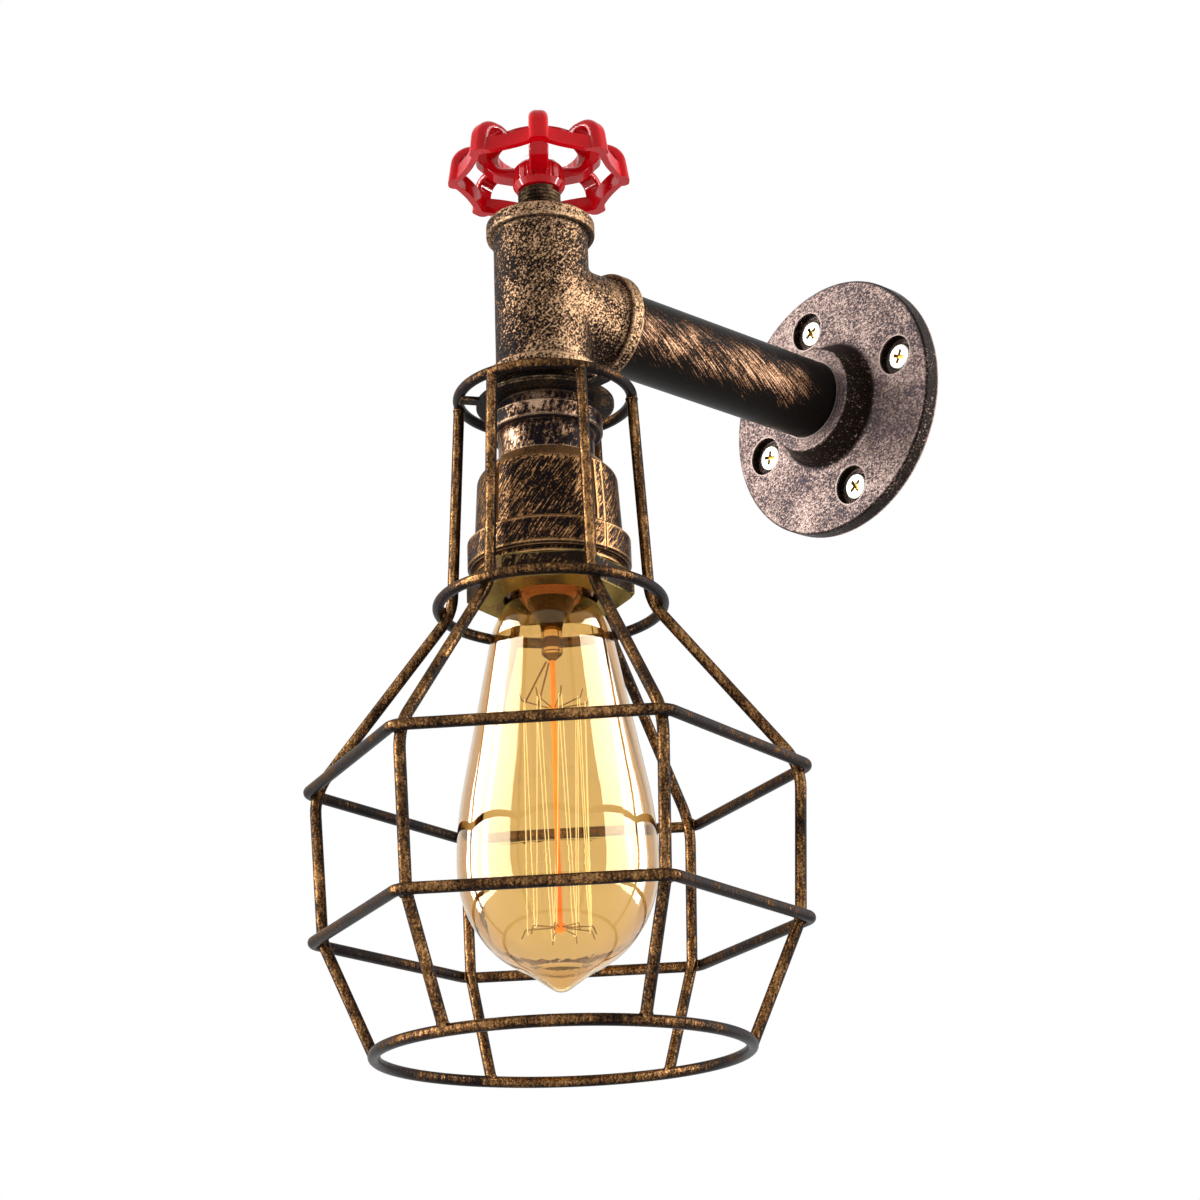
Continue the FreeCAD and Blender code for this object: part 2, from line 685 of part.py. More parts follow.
def cage_plate():
    """Thin disc that carries the cage: tabs reach out to the inside of the top ring."""
    bottom = PLATE_TOP - PLATE_THICKNESS
    plate = upright_cylinder(PLATE_RADIUS, bottom, PLATE_TOP)
    tab = Part.makeBox(TOP_RING_RADIUS, PLATE_TAB_WIDTH, PLATE_THICKNESS)
    tab.translate(V(0, -PLATE_TAB_WIDTH / 2 - ARM_REACH, bottom))
    plate = plate.multiFuse(turned_copies(tab, PLATE_TAB_COUNT, PLATE_TAB_FIRST_ANGLE)).removeSplitter()
    plate = plate.cut(torus_ring(TOP_RING_RADIUS, TOP_RING_Z))
    return plate.cut(upright_cylinder(NIPPLE_RADIUS + THREAD_GAP, bottom, PLATE_TOP))


def hex_ring(radius, z):
    """Round wire bent into a hexagon with rounded corners."""
    corners = [polar(radius, CAGE_FIRST_ANGLE + 60 * i, z) for i in range(CAGE_SIDE_COUNT)]
    start = (corners[-1] + corners[0]) * 0.5
    edges = rounded_edges([start] + corners, [0] + [HEX_BEND] * CAGE_SIDE_COUNT, True)
    return tube_along(edges, WIRE_RADIUS)


def upper_hex_radius():
    """The upper hexagon is the widest; the lower one is drawn in a little."""
    return HEX_RADIUS + HEX_DRAW_IN


def wire_crown(radius):
    """How far out the middle of a rounded hexagon corner stands."""
    return radius - HEX_BEND * (1 / math.cos(math.radians(180.0 / CAGE_SIDE_COUNT)) - 1)


def upright_route():
    """An upright's centre line: inside the rings, flaring out to the belly and in to the mouth."""
    inside = 2 * WIRE_RADIUS - WELD_BITE
    points = [
        (TOP_RING_RADIUS, TOP_RING_Z),
        (NECK_RING_RADIUS - inside - NECK_BEND_CUT, NECK_RING_Z),
        (wire_crown(upper_hex_radius()) - inside + UPPER_BEND_CUT, UPPER_HEX_Z),
        (wire_crown(HEX_RADIUS) - inside + LOWER_BEND_CUT, LOWER_HEX_Z),
        (BOTTOM_RING_RADIUS, BOTTOM_RING_Z),
    ]
    corners = [V(r, -ARM_REACH, z) for r, z in points]
    return rounded_edges(corners, [0, NECK_BEND, UPPER_BEND, LOWER_BEND, 0], False)


def cage_rings():
    return {
        "cage_top_ring": torus_ring(TOP_RING_RADIUS, TOP_RING_Z),
        "cage_neck_ring": torus_ring(NECK_RING_RADIUS, NECK_RING_Z),
        "cage_upper_hex": hex_ring(upper_hex_radius(), UPPER_HEX_Z),
        "cage_lower_hex": hex_ring(HEX_RADIUS, LOWER_HEX_Z),
        "cage_bottom_ring": torus_ring(BOTTOM_RING_RADIUS, BOTTOM_RING_Z),
    }


def cage_uprights(rings):
    """Bent wires, coped where they are welded to the rings."""
    wire = turned(tube_along(upright_route(), WIRE_RADIUS), CAGE_FIRST_ANGLE)
    for ring in rings.values():
        wire = wire.cut(ring)
    wire = max(wire.Solids, key=lambda s: s.Volume)
    return Part.makeCompound(turned_copies(wire, CAGE_SIDE_COUNT))


def holder_neck():
    """Threaded neck of the lampholder, closed by a wall that the nipple passes."""
    top = PLATE_TOP - PLATE_THICKNESS
    return lathe_z([
        (NIPPLE_RADIUS + THREAD_GAP, top, 0),
        (NECK_OUTER_RADIUS, top, 0.5),
        (NECK_OUTER_RADIUS, ROOF_Z, 0),
        (SPIGOT_RADIUS, ROOF_Z, 0),
        (SPIGOT_RADIUS, ROOF_Z - HOLDER_WALL, 0),
        (NECK_INNER_RADIUS, ROOF_Z - HOLDER_WALL, 0),
        (NECK_INNER_RADIUS, top - NECK_TOP_WALL, 0),
        (NIPPLE_RADIUS + THREAD_GAP, top - NECK_TOP_WALL, 0),
    ])


def lock_ring():
    bottom = LOCK_RING_TOP - LOCK_RING_HEIGHT
    bore = NECK_OUTER_RADIUS + THREAD_GAP
    return lathe_z([
        (bore, bottom, 0),
        (LOCK_RING_RADIUS, bottom, LOCK_RING_CHAMFER),
        (LOCK_RING_RADIUS, LOCK_RING_TOP, LOCK_RING_CHAMFER),
        (bore, LOCK_RING_TOP, 0),
    ])


def holder_body():
    """Bell-shaped shell of the lampholder with four narrow upright ribs."""
    hole = SPIGOT_RADIUS + THREAD_GAP
    skirt_foot = NUT_TOP
    wall = HOLDER_WALL
    shoulder_z = ROOF_Z - SHOULDER_DROP
    shell = lathe_z([
        (hole, ROOF_Z, 0),
        (SHOULDER_TOP_RADIUS, ROOF_Z, 0.5),
        (SHOULDER_RADIUS, shoulder_z, SHOULDER_ROUND),
        (SKIRT_RADIUS, BAND_TOP, 0),
        (SKIRT_RADIUS, skirt_foot, 0),
        (SKIRT_RADIUS - wall, skirt_foot, 0),
        (SKIRT_RADIUS - wall, BAND_TOP, 0),
        (SHOULDER_RADIUS - wall, shoulder_z - wall, SHOULDER_ROUND - wall),
        (SHOULDER_TOP_RADIUS, ROOF_Z - wall, 0),
        (hole, ROOF_Z - wall, 0),
    ])
    length = RIB_TOP - BAND_TOP
    rib = Part.makeBox(RIB_HEIGHT + 2, RIB_WIDTH, length)
    rib.translate(V(SHOULDER_RADIUS - 1.2, -RIB_WIDTH / 2 - ARM_REACH, BAND_TOP))
    outer = lathe_z([
        (0, RIB_TOP, 0),
        (SHOULDER_RADIUS + RIB_HEIGHT - 0.2, RIB_TOP, 0.8),
        (SKIRT_RADIUS + RIB_HEIGHT, BAND_TOP, 0),
        (0, BAND_TOP, 0),
    ])
    rib = rib.common(outer)
    return shell.multiFuse(turned_copies(rib, RIB_COUNT, RIB_FIRST_ANGLE)).removeSplitter()


def holder_band():
    """Clamping band with chamfered rims and an upright seam."""
    bottom = BAND_TOP - BAND_HEIGHT
    c = BAND_CHAMFER
    bore = SKIRT_RADIUS
    band = lathe_z([
        (bore, bottom, 0),
        (BAND_RADIUS - c, bottom, 0),
        (BAND_RADIUS, bottom + c, 0),
        (BAND_RADIUS, BAND_TOP - c, 0),
        (BAND_RADIUS - c, BAND_TOP, 0),
        (bore, BAND_TOP, 0),
    ])
    seam = Part.makeBox(2.0, BAND_SEAM_WIDTH, BAND_HEIGHT)
    seam.translate(V(BAND_RADIUS - BAND_SEAM_DEPTH, -BAND_SEAM_WIDTH / 2 - ARM_REACH, bottom))
    return band.cut(turned(seam, RIB_FIRST_ANGLE))


def holder_hex_nut():
    """Hexagonal retaining nut: a spigot inside the skirt, a floor and the lamp's mouth."""
    spigot = SKIRT_RADIUS - HOLDER_WALL - THREAD_GAP
    cavity = spigot - NUT_SPIGOT_WALL
    nut = hex_prism(NUT_FLATS, NUT_BOTTOM, NUT_TOP, NUT_ANGLE)
    corner = NUT_FLATS / math.sqrt(3)
    turned_blank = lathe_z([
        (0, NUT_BOTTOM, 0),
        (corner - NUT_CHAMFER, NUT_BOTTOM, 0),
        (corner + 0.01, NUT_BOTTOM + NUT_CHAMFER * 0.6, 0),
        (corner + 0.01, NUT_TOP - NUT_CHAMFER * 0.6, 0),
        (corner - NUT_CHAMFER, NUT_TOP, 0),
        (0, NUT_TOP, 0),
    ])
    nut = nut.common(turned_blank)
    nut = nut.fuse(upright_cylinder(spigot, NUT_TOP, NUT_TOP + NUT_SPIGOT_HEIGHT))
    nut = nut.cut(upright_cylinder(cavity, NUT_BOTTOM + NUT_FLOOR, NUT_TOP + NUT_SPIGOT_HEIGHT))
    return nut.cut(upright_cylinder(MOUTH_RADIUS, NUT_BOTTOM, NUT_BOTTOM + NUT_FLOOR))


def insert_radius():
    return SKIRT_RADIUS - HOLDER_WALL - THREAD_GAP - NUT_SPIGOT_WALL - LOOSE_GAP


def socket_insert():
    """Ceramic insert that holds the screw shell and the contacts."""
    bottom = NUT_BOTTOM + NUT_FLOOR
    bore = SHELL_INNER_RADIUS + SHELL_WALL + THREAD_GAP
    body = lathe_z([
        (0, INSERT_TOP, 0),
        (insert_radius(), INSERT_TOP, 1.0),
        (insert_radius(), bottom, 0),
        (bore, bottom, 0),
        (bore, INSERT_TOP - INSERT_FLOOR, 0),
        (0, INSERT_TOP - INSERT_FLOOR, 0),
    ])
    return body


def screw_shell():
    """Thin brass shell with the lamp's round thread."""
    top = INSERT_TOP - INSERT_FLOOR
    outer = SHELL_INNER_RADIUS + SHELL_WALL
    return lathe_z([
        (SHELL_INNER_RADIUS, top - SHELL_LENGTH, 0),
        (outer, top - SHELL_LENGTH, 0),
        (outer, top, 0),
        (TIP_CONTACT_RADIUS + 3.5, top, 0),
        (TIP_CONTACT_RADIUS + 3.5, top - SHELL_WALL, 0),
        (SHELL_INNER_RADIUS, top - SHELL_WALL, 0),
    ])


def centre_contact():
    """Bent contact tongue under the insert's floor, touching the bulb's tip."""
    top = INSERT_TOP - INSERT_FLOOR
    drop = top - tip_top() - CONTACT_GAP
    half = CONTACT_WIDTH / 2
    t = CONTACT_THICKNESS
    outline = [(-5.5, top), (-1.5, top), (2.2, top - drop + t), (4.2, top - drop + t)]
    outline += [(4.2, top - drop), (1.9, top - drop), (-1.8, top - t), (-5.5, top - t)]
    face = rounded_face([V(x, -half - ARM_REACH, z) for x, z in outline], [0] * 8)
    return face.extrude(V(0, CONTACT_WIDTH, 0))


def tip_top():
    """Highest point of the bulb when it is screwed home."""
    return CAP_TOP + CAP_GLASS_HEIGHT * 0.5 + TIP_CONTACT_HEIGHT


def lead_y():
    return -ARM_REACH + LEAD_RISE


def terminal_top():
    return INSERT_TOP + TERMINAL_HEIGHT


def roof_underside():
    return ROOF_Z - HOLDER_WALL


def terminal_screw_z():
    return INSERT_TOP + TERMINAL_HEAD_RADIUS + LOOSE_GAP


def terminal_blocks():
    """Brass blocks on the insert: a hole in the top for the bared wire, a screw in the front."""
    size = TERMINAL_SIZE
    blocks = []
    for side in (-1, 1):
        x = side * TERMINAL_OFFSET
        block = Part.makeBox(size, size, TERMINAL_HEIGHT, V(x - size / 2, lead_y() - size / 2, INSERT_TOP))
        seat = V(x, lead_y() - size / 2, terminal_screw_z())
        screw = Part.makeCylinder(TERMINAL_SCREW_RADIUS + THREAD_GAP, size / 2, seat, V(0, 1, 0))
        entry = Part.makeCylinder(
            CORE_RADIUS + THREAD_GAP, STRIPPED_TIP, V(x, lead_y(), terminal_top()), V(0, 0, -1)
        )
        blocks.append(block.cut(screw).cut(entry))
    return Part.makeCompound(blocks)


def terminal_screws():
    screws = []
    for side in (-1, 1):
        seat = V(side * TERMINAL_OFFSET, lead_y() - TERMINAL_SIZE / 2, terminal_screw_z())
        shank = Part.makeCylinder(
            TERMINAL_SCREW_RADIUS, TERMINAL_SIZE / 2 - CORE_RADIUS - 2 * LOOSE_GAP, seat, V(0, 1, 0)
        )
        head = Part.makeCylinder(TERMINAL_HEAD_RADIUS, TERMINAL_HEAD_HEIGHT, seat, V(0, -1, 0))
        slot = Part.makeBox(2 * TERMINAL_HEAD_RADIUS, 0.4, 0.6)
        slot.translate(seat + V(-TERMINAL_HEAD_RADIUS, -TERMINAL_HEAD_HEIGHT, -0.3))
        screws.append(head.cut(slot).fuse(shank))
    return Part.makeCompound(screws)


def earth_entry():
    """Where the earth wire enters its block under the lampholder's roof."""
    y = -ARM_REACH - EARTH_BLOCK_FROM_AXIS
    return V(0, y, roof_underside() - EARTH_BLOCK_HEIGHT * 0.6)


def earth_block():
    """Brass block under the metal roof for the earth wire."""
    width = EARTH_BLOCK_DEPTH + 1.0
    corner = V(-width / 2, earth_entry().y - EARTH_BLOCK_DEPTH, roof_underside() - EARTH_BLOCK_HEIGHT)
    block = Part.makeBox(width, EARTH_BLOCK_DEPTH, EARTH_BLOCK_HEIGHT, corner)
    entry = Part.makeCylinder(CORE_RADIUS + THREAD_GAP, STRIPPED_TIP, earth_entry(), V(0, -1, 0))
    return block.cut(entry)


def lead_route(name):
    """Corners and bend radii of one wire, from the wall through the arm to its terminal."""
    start = -TAIL_FROM_WALL - STRIPPED_TAIL
    if name == "earth_wire":
        y = -ARM_REACH - EARTH_DROP
        points = [V(0, start, -EARTH_DROP), V(0, y, -EARTH_DROP), V(0, y, earth_entry().z), earth_entry()]
        return points, [0, EARTH_TURN, LEAD_SMALL_TURN, 0]
    side = -1 if name == "live_wire" else 1
    near, far = side * LEAD_SPREAD, side * TERMINAL_OFFSET
    points = [
        V(near, start, LEAD_RISE),
        V(near, lead_y(), LEAD_RISE),
        V(near, lead_y(), LEAD_FAN_START),
        V(far, lead_y(), LEAD_FAN_END),
        V(far, lead_y(), terminal_top()),
    ]
    return points, [0, LEAD_TURN, LEAD_SMALL_TURN, LEAD_SMALL_TURN, 0]


def lead_wire(name):
    points, radii = lead_route(name)
    edges = rounded_edges(points, radii, False)
    length = sum(e.Length for e in edges)
    wire = tube_along(edges, LEAD_RADIUS)
    expected = math.pi * LEAD_RADIUS**2 * length
    ratio = round(wire.Volume / expected, 4)
    print(name, "length", round(length, 1), "bends", radii[1:-1], "volume ratio", ratio)
    return wire


def wire_ends():
    """Bared copper at both ends of each wire."""
    ends = []
    for name in ("live_wire", "neutral_wire", "earth_wire"):
        points, _ = lead_route(name)
        ends.append(Part.makeCylinder(CORE_RADIUS, STRIPPED_TAIL, points[0], V(0, 1, 0)))
        inward = (points[-1] - points[-2]).normalize()
        ends.append(Part.makeCylinder(CORE_RADIUS, STRIPPED_TIP, points[-1], inward))
    return Part.makeCompound(ends)


def glass_blank(inset):
    """The bulb's outer body of revolution, or its hollow when inset is the glass wall."""
    radius = BULB_RADIUS - inset
    neck = GLASS_NECK_RADIUS - inset
    bottom = BULB_TIP_Z + SEAL_TIP_LENGTH + inset
    belly = V(radius, -ARM_REACH, BELLY_Z)
    points = [
        V(0, -ARM_REACH, GLASS_TOP),
        V(neck, -ARM_REACH, GLASS_TOP),
        V(neck, -ARM_REACH, CAP_RIM - GLASS_BELOW_CAP),
        V(SHOULDER_GLASS_RADIUS - inset, -ARM_REACH, SHOULDER_GLASS_Z),
        V(radius, -ARM_REACH, BELLY_Z + BELLY_RUN),
        belly,
    ]
    turns = [0, 0, GLASS_NECK_TURN - inset, GLASS_SHOULDER_TURN, BELLY_CURVE, 0]
    edges = rounded_edges(points, turns, False)
    dome = Part.Ellipse(V(0, -ARM_REACH, bottom), belly, V(0, -ARM_REACH, BELLY_Z))
    edges.append(Part.ArcOfEllipse(dome, 0, math.pi / 2).toShape())
    edges.append(Part.LineSegment(V(0, -ARM_REACH, bottom), points[0]).toShape())
    face = Part.Face(Part.Wire(Part.__sortEdges__(edges)))
    body = face.revolve(V(0, -ARM_REACH, 0), V(0, 0, 1), 360)
    body = body.fuse(seal_tip(inset)).removeSplitter()
    crease = [e for e in body.Edges if is_seal_crease(e)]
    return body.makeFillet(SEAL_TIP_BLEND + inset, crease)


def seal_tip(inset):
    """Cone with a round end, where the glass was drawn off and sealed."""
    slope = math.radians(SEAL_TIP_SLOPE)
    ball = SEAL_TIP_RADIUS - inset
    centre = BULB_TIP_Z + SEAL_TIP_RADIUS
    touch = ball * math.sin(slope)
    low = centre - ball * math.cos(slope)
    high = low + (SEAL_TIP_REACH - touch) * math.tan(slope)
    foot, axis = V(0, -ARM_REACH, low), V(0, 0, 1)
    cone = Part.makeCone(touch, SEAL_TIP_REACH, high - low, foot, axis)
    return cone.fuse(Part.makeSphere(ball, V(0, -ARM_REACH, centre)))


def is_seal_crease(edge):
    """True for the circle in which the seal's cone leaves the dome."""
    box = edge.BoundBox
    level = box.ZLength < 0.01 and box.ZMax < BELLY_Z
    return level and SEAL_TIP_RADIUS < box.XLength / 2 < SEAL_TIP_REACH


def bulb_glass():
    """Blown envelope: straight neck in the cap, long pear body, elliptical end with a seal tip."""
    return glass_blank(0).cut(glass_blank(GLASS_WALL))


def bulb_cap():
    """Thin brass screw cap crimped on the glass neck."""
    outer = CAP_RADIUS
    return lathe_z([
        (outer, CAP_RIM, 0.2),
        (outer, CAP_TOP - CAP_SHOULDER_DROP, 1.2),
        (CAP_CROWN_RADIUS, CAP_TOP, 0),
        (CAP_CROWN_RADIUS - CAP_WALL, CAP_TOP, 0),
        (outer - CAP_WALL - 0.1, CAP_TOP - CAP_SHOULDER_DROP - CAP_WALL, 0.8),
        (outer - CAP_WALL - 0.1, CAP_RIM, 0),
    ])


def bulb_cap_glass():
    """Black glass between the cap and the tip contact."""
    bottom = CAP_TOP - CAP_GLASS_HEIGHT * 0.5
    return lathe_z([
        (0, bottom, 0),
        (CAP_CROWN_RADIUS - CAP_WALL, bottom, 0),
        (CAP_CROWN_RADIUS - CAP_WALL, CAP_TOP, 0),
        (TIP_CONTACT_RADIUS + 0.4, CAP_TOP + CAP_GLASS_HEIGHT * 0.5, 0),
        (0, CAP_TOP + CAP_GLASS_HEIGHT * 0.5, 0),
    ])


def bulb_tip_contact():
    bottom = tip_top() - TIP_CONTACT_HEIGHT
    return lathe_z([
        (0, bottom, 0),
        (TIP_CONTACT_RADIUS, bottom, 0),
        (TIP_CONTACT_RADIUS, tip_top(), 0.9),
        (0, tip_top(), 0),
    ])


def bulb_stem():
    """Glass flare sealed in the neck, drawn down to the press that holds the wires."""
    rim = GLASS_NECK_RADIUS - GLASS_WALL
    edge = CAP_RIM - STEM_EDGE_BELOW_RIM
    tip = stem_tip_z()
    return lathe_z([
        (0, edge + STEM_EDGE_HEIGHT, 0),
        (rim, edge + STEM_EDGE_HEIGHT, 0),
        (rim, edge, STEM_EDGE_ROUND),
        (STEM_RADIUS, edge - STEM_FLARE_HEIGHT, STEM_FLARE_ROUND),
        (STEM_RADIUS, tip + STEM_TAPER_HEIGHT, STEM_TAPER_ROUND),
        (ROD_RADIUS, tip, 0),
        (0, tip, 0),
    ])


def stem_tip_z():
    return CAP_RIM - STEM_TIP_BELOW_RIM


def upper_button_z():
    return stem_tip_z() - UPPER_BUTTON_BELOW_STEM


def lower_button_z():
    return BULB_TIP_Z + LOWER_BUTTON_ABOVE_TIP


def filament_rod():
    """Glass rod with two buttons, in which the hooks are set."""
    rod = upright_cylinder(ROD_RADIUS, lower_button_z(), stem_tip_z())
    upper = Part.makeSphere(BUTTON_RADIUS, V(0, -ARM_REACH, upper_button_z()))
    lower = Part.makeSphere(BUTTON_RADIUS, V(0, -ARM_REACH, lower_button_z()))
    return rod.multiFuse([upper, lower])


def straight_wire(start, end, radius):
    return Part.makeCylinder(radius, start.distanceToPoint(end), start, end - start)


def strand_angle(turn):
    return FIRST_STRAND_ANGLE + 360.0 / STRAND_COUNT * turn


def hook(button_z, turn_z, turn, rod):
    """A fine wire from a button out through one turn of the filament, its end bent away from the strands."""
    start = polar(BUTTON_RADIUS / 2, strand_angle(turn), button_z)
    held = polar(CAGE_FILAMENT_RADIUS, strand_angle(turn), turn_z)
    knee = held + (held - start).normalize() * HOOK_PAST_TURN
    away = math.copysign(HOOK_END_RISE, turn_z - (upper_turn_z() + lower_turn_z()) / 2)
    end = polar(CAGE_FILAMENT_RADIUS + HOOK_PAST_TURN + HOOK_END_OUT, strand_angle(turn), turn_z + away)
    wire = tube_along(rounded_edges([start, knee, end], [0, HOOK_BEND, 0], False), HOOK_RADIUS)
    return wire.cut(rod)


def filament_hooks(rod):
    """Two stars of hooks: the upper ones skip the first and last turns, which the lead-in wires hold."""
    upper = [hook(upper_button_z(), upper_turn_z(), i, rod) for i in range(2, STRAND_COUNT - 2, 2)]
    lower = [hook(lower_button_z(), lower_turn_z(), i, rod) for i in range(1, STRAND_COUNT - 2, 2)]
    return Part.makeCompound(upper + lower)


def upper_turn_z():
    return upper_button_z() + UPPER_TURN_RISE


def lower_turn_z():
    return lower_button_z() - LOWER_TURN_DROP


def filament_end_z():
    return upper_turn_z() + FILAMENT_TURN


def filament():
    """Squirrel-cage filament: one wire that runs up and down between the hooks."""
    spread = CAGE_FILAMENT_RADIUS * math.sin(math.radians(360.0 / STRAND_COUNT))
    middle = (upper_turn_z() + lower_turn_z()) / 2
    reach = (upper_turn_z() - lower_turn_z()) / (1 - 2 * FILAMENT_TURN / spread) / 2
    corners = []
    for i in range(STRAND_COUNT - 1):
        corners.append(polar(CAGE_FILAMENT_RADIUS, strand_angle(i), middle + reach * (-1) ** i))
    corners[0].z = corners[-1].z = filament_end_z()
    radii = [0] + [FILAMENT_TURN] * (STRAND_COUNT - 3) + [0]
    return tube_along(rounded_edges(corners, radii, False), FILAMENT_RADIUS)


def lead_in_wires():
    """Two stiff wires from the press out to the first and last ends of the filament."""
    wires = []
    for turn in (0, STRAND_COUNT - 2):
        start = polar(STEM_RADIUS * 0.6, strand_angle(turn), stem_tip_z())
        end = polar(CAGE_FILAMENT_RADIUS, strand_angle(turn), filament_end_z() + LEAD_IN_RADIUS)
        wires.append(straight_wire(start, end, LEAD_IN_RADIUS))
    return Part.makeCompound(wires)


def main():
    rings = cage_rings()
    rod = filament_rod()
    parts = {
        "wall_flange": wall_flange(),
        "wall_screws": wall_screws(),
        "arm_pipe": arm_pipe(),
        "tee": tee(),
        "top_plug": top_plug(),
        "threaded_stub": threaded_stub(),
        "handwheel": handwheel(),
        "wheel_washer": wheel_washer(),
        "wheel_screw": wheel_screw(),
        "bottom_bushing": bottom_bushing(),
        "lower_nipple": lower_nipple(),
        "nipple_nut": nipple_nut(),
        "cage_plate": cage_plate(),
        "cage_uprights": cage_uprights(rings),
        "holder_neck": holder_neck(),
        "lock_ring": lock_ring(),
        "holder_body": holder_body(),
        "holder_band": holder_band(),
        "holder_hex_nut": holder_hex_nut(),
        "socket_insert": socket_insert(),
        "screw_shell": screw_shell(),
        "centre_contact": centre_contact(),
        "terminal_blocks": terminal_blocks(),
        "terminal_screws": terminal_screws(),
        "earth_block": earth_block(),
        "wire_ends": wire_ends(),
        "bulb_glass": bulb_glass(),
        "bulb_cap": bulb_cap(),
        "bulb_cap_glass": bulb_cap_glass(),
        "bulb_tip_contact": bulb_tip_contact(),
        "bulb_stem": bulb_stem(),
        "filament_rod": rod,
        "filament_hooks": filament_hooks(rod),
        "filament": filament(),
        "lead_in_wires": lead_in_wires(),
    }
    parts.update(rings)
    for name in ("live_wire", "neutral_wire", "earth_wire"):
        parts[name] = lead_wire(name)
    for name, shape in parts.items():
        if not shape.isValid():
            print("invalid shape:", name)
        shape.exportStep("parts/" + name + ".step")


main()
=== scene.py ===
import bpy
import math
from mathutils import Matrix, Vector


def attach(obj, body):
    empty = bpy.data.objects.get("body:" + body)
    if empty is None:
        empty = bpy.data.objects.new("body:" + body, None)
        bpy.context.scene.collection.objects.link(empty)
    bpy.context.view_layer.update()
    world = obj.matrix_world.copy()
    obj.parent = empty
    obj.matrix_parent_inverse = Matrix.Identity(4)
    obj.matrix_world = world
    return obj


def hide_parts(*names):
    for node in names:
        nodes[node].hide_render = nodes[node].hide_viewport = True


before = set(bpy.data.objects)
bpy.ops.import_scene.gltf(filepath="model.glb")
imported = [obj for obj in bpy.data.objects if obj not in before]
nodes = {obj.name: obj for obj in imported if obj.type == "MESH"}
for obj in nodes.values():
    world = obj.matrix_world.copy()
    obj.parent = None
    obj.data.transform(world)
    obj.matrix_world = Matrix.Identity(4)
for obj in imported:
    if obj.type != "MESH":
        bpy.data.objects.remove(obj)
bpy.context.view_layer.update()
bpy.ops.object.select_all(action="DESELECT")


# Wall flange: a round cast iron floor flange with a hub, screwed to the wall. It is rubbed
# with copper and bronze paint over black, so its faces are pinkish copper and its pits dark.
# coat() mixes this finish for every piece of the lamp that wears it.
PATCH_SCALE = 90.0  # of the broad mottling
EDGE_WEAR = (0.995, 0.88)  # cosine between a face and its rounded edge, from unworn to worn
COVER_GAIN = 0.45  # how far cover moves the limit from which paint holds
FACE_GAIN = 0.28  # how much more is rubbed of a face that was turned to the brush
PAINT_EDGE = (-0.04, 0.08)  # past the limit: where paint starts and where it hides the black
PAINT_BODY = (0.05, 0.26)  # and where it turns from thin to full
STROKE_RELIEF = 0.4  # height of the strokes against that of the pits
GRAIN_HEIGHT = 0.0003
BLACK_GLOSS = 0.05
METAL_RIM = (0.60, 0.47, 0.39, 1)  # tint of what is mirrored at a flat angle


def shader_node(tree, kind, **inputs):
    """A node with its sockets set or linked. A key is a socket's name, or _ and its number."""
    node = tree.nodes.new(kind)
    for key, value in inputs.items():
        index = int(key[1:]) if key[1:].isdigit() else key.replace("_", " ")
        socket = node.inputs[index]
        if isinstance(value, bpy.types.NodeSocket):
            tree.links.new(value, socket)
        else:
            socket.default_value = value
    return node


def math_node(tree, operation, a, b=0.0):
    node = shader_node(tree, "ShaderNodeMath", _0=a, _1=b)
    node.operation = operation
    return node.outputs[0]


def add(tree, a, b):
    return math_node(tree, "ADD", a, b)


def times(tree, a, b):
    return math_node(tree, "MULTIPLY", a, b)


def step_between(tree, value, low, high, to_low=0.0, to_high=1.0):
    """A smooth step from to_low to to_high while value goes from low to high."""
    node = shader_node(
        tree, "ShaderNodeMapRange", _0=value, _1=low, _2=high, _3=to_low, _4=to_high
    )
    node.interpolation_type = "SMOOTHSTEP"
    return node.outputs[0]


def blend_colour(tree, factor, a, b):
    node = tree.nodes.new("ShaderNodeMix")
    node.data_type = "RGBA"
    for socket, value in ((0, factor), (6, a), (7, b)):
        if isinstance(value, bpy.types.NodeSocket):
            tree.links.new(value, node.inputs[socket])
        else:
            node.inputs[socket].default_value = value if socket == 0 else (*value, 1)
    return node.outputs[2]


def noise(tree, place, scale, detail=4.0, roughness=0.6):
    node = shader_node(
        tree, "ShaderNodeTexNoise", Vector=place, Scale=scale, Detail=detail, Roughness=roughness
    )
    return node.outputs[0]


def turned(tree, place, turn=(0, 0, 0), stretch=(1, 1, 1)):
    node = shader_node(tree, "ShaderNodeMapping", Vector=place, Rotation=turn, Scale=stretch)
    return node.outputs[0]


def dot_product(tree, a, b):
    node = tree.nodes.new("ShaderNodeVectorMath")
    node.operation = "DOT_PRODUCT"
    for socket, value in zip(node.inputs, (a, b)):
        if isinstance(value, bpy.types.NodeSocket):
            tree.links.new(value, socket)
        else:
            socket.default_value = value
    return node.outputs["Value"]


def relief(tree, shader, height, strength, depth):
    """Small bumps in the surface, under a millimetre high."""
    node = shader_node(
        tree, "ShaderNodeBump", Strength=strength, Distance=depth, Height=height
    )
    tree.links.new(node.outputs[0], shader.inputs["Normal"])


def fresh_material(name):
    material = bpy.data.materials.new(name)
    material.use_nodes = True
    tree = material.node_tree
    place = tree.nodes.new("ShaderNodeTexCoord").outputs["Object"]
    return material, tree, tree.nodes["Principled BSDF"], place


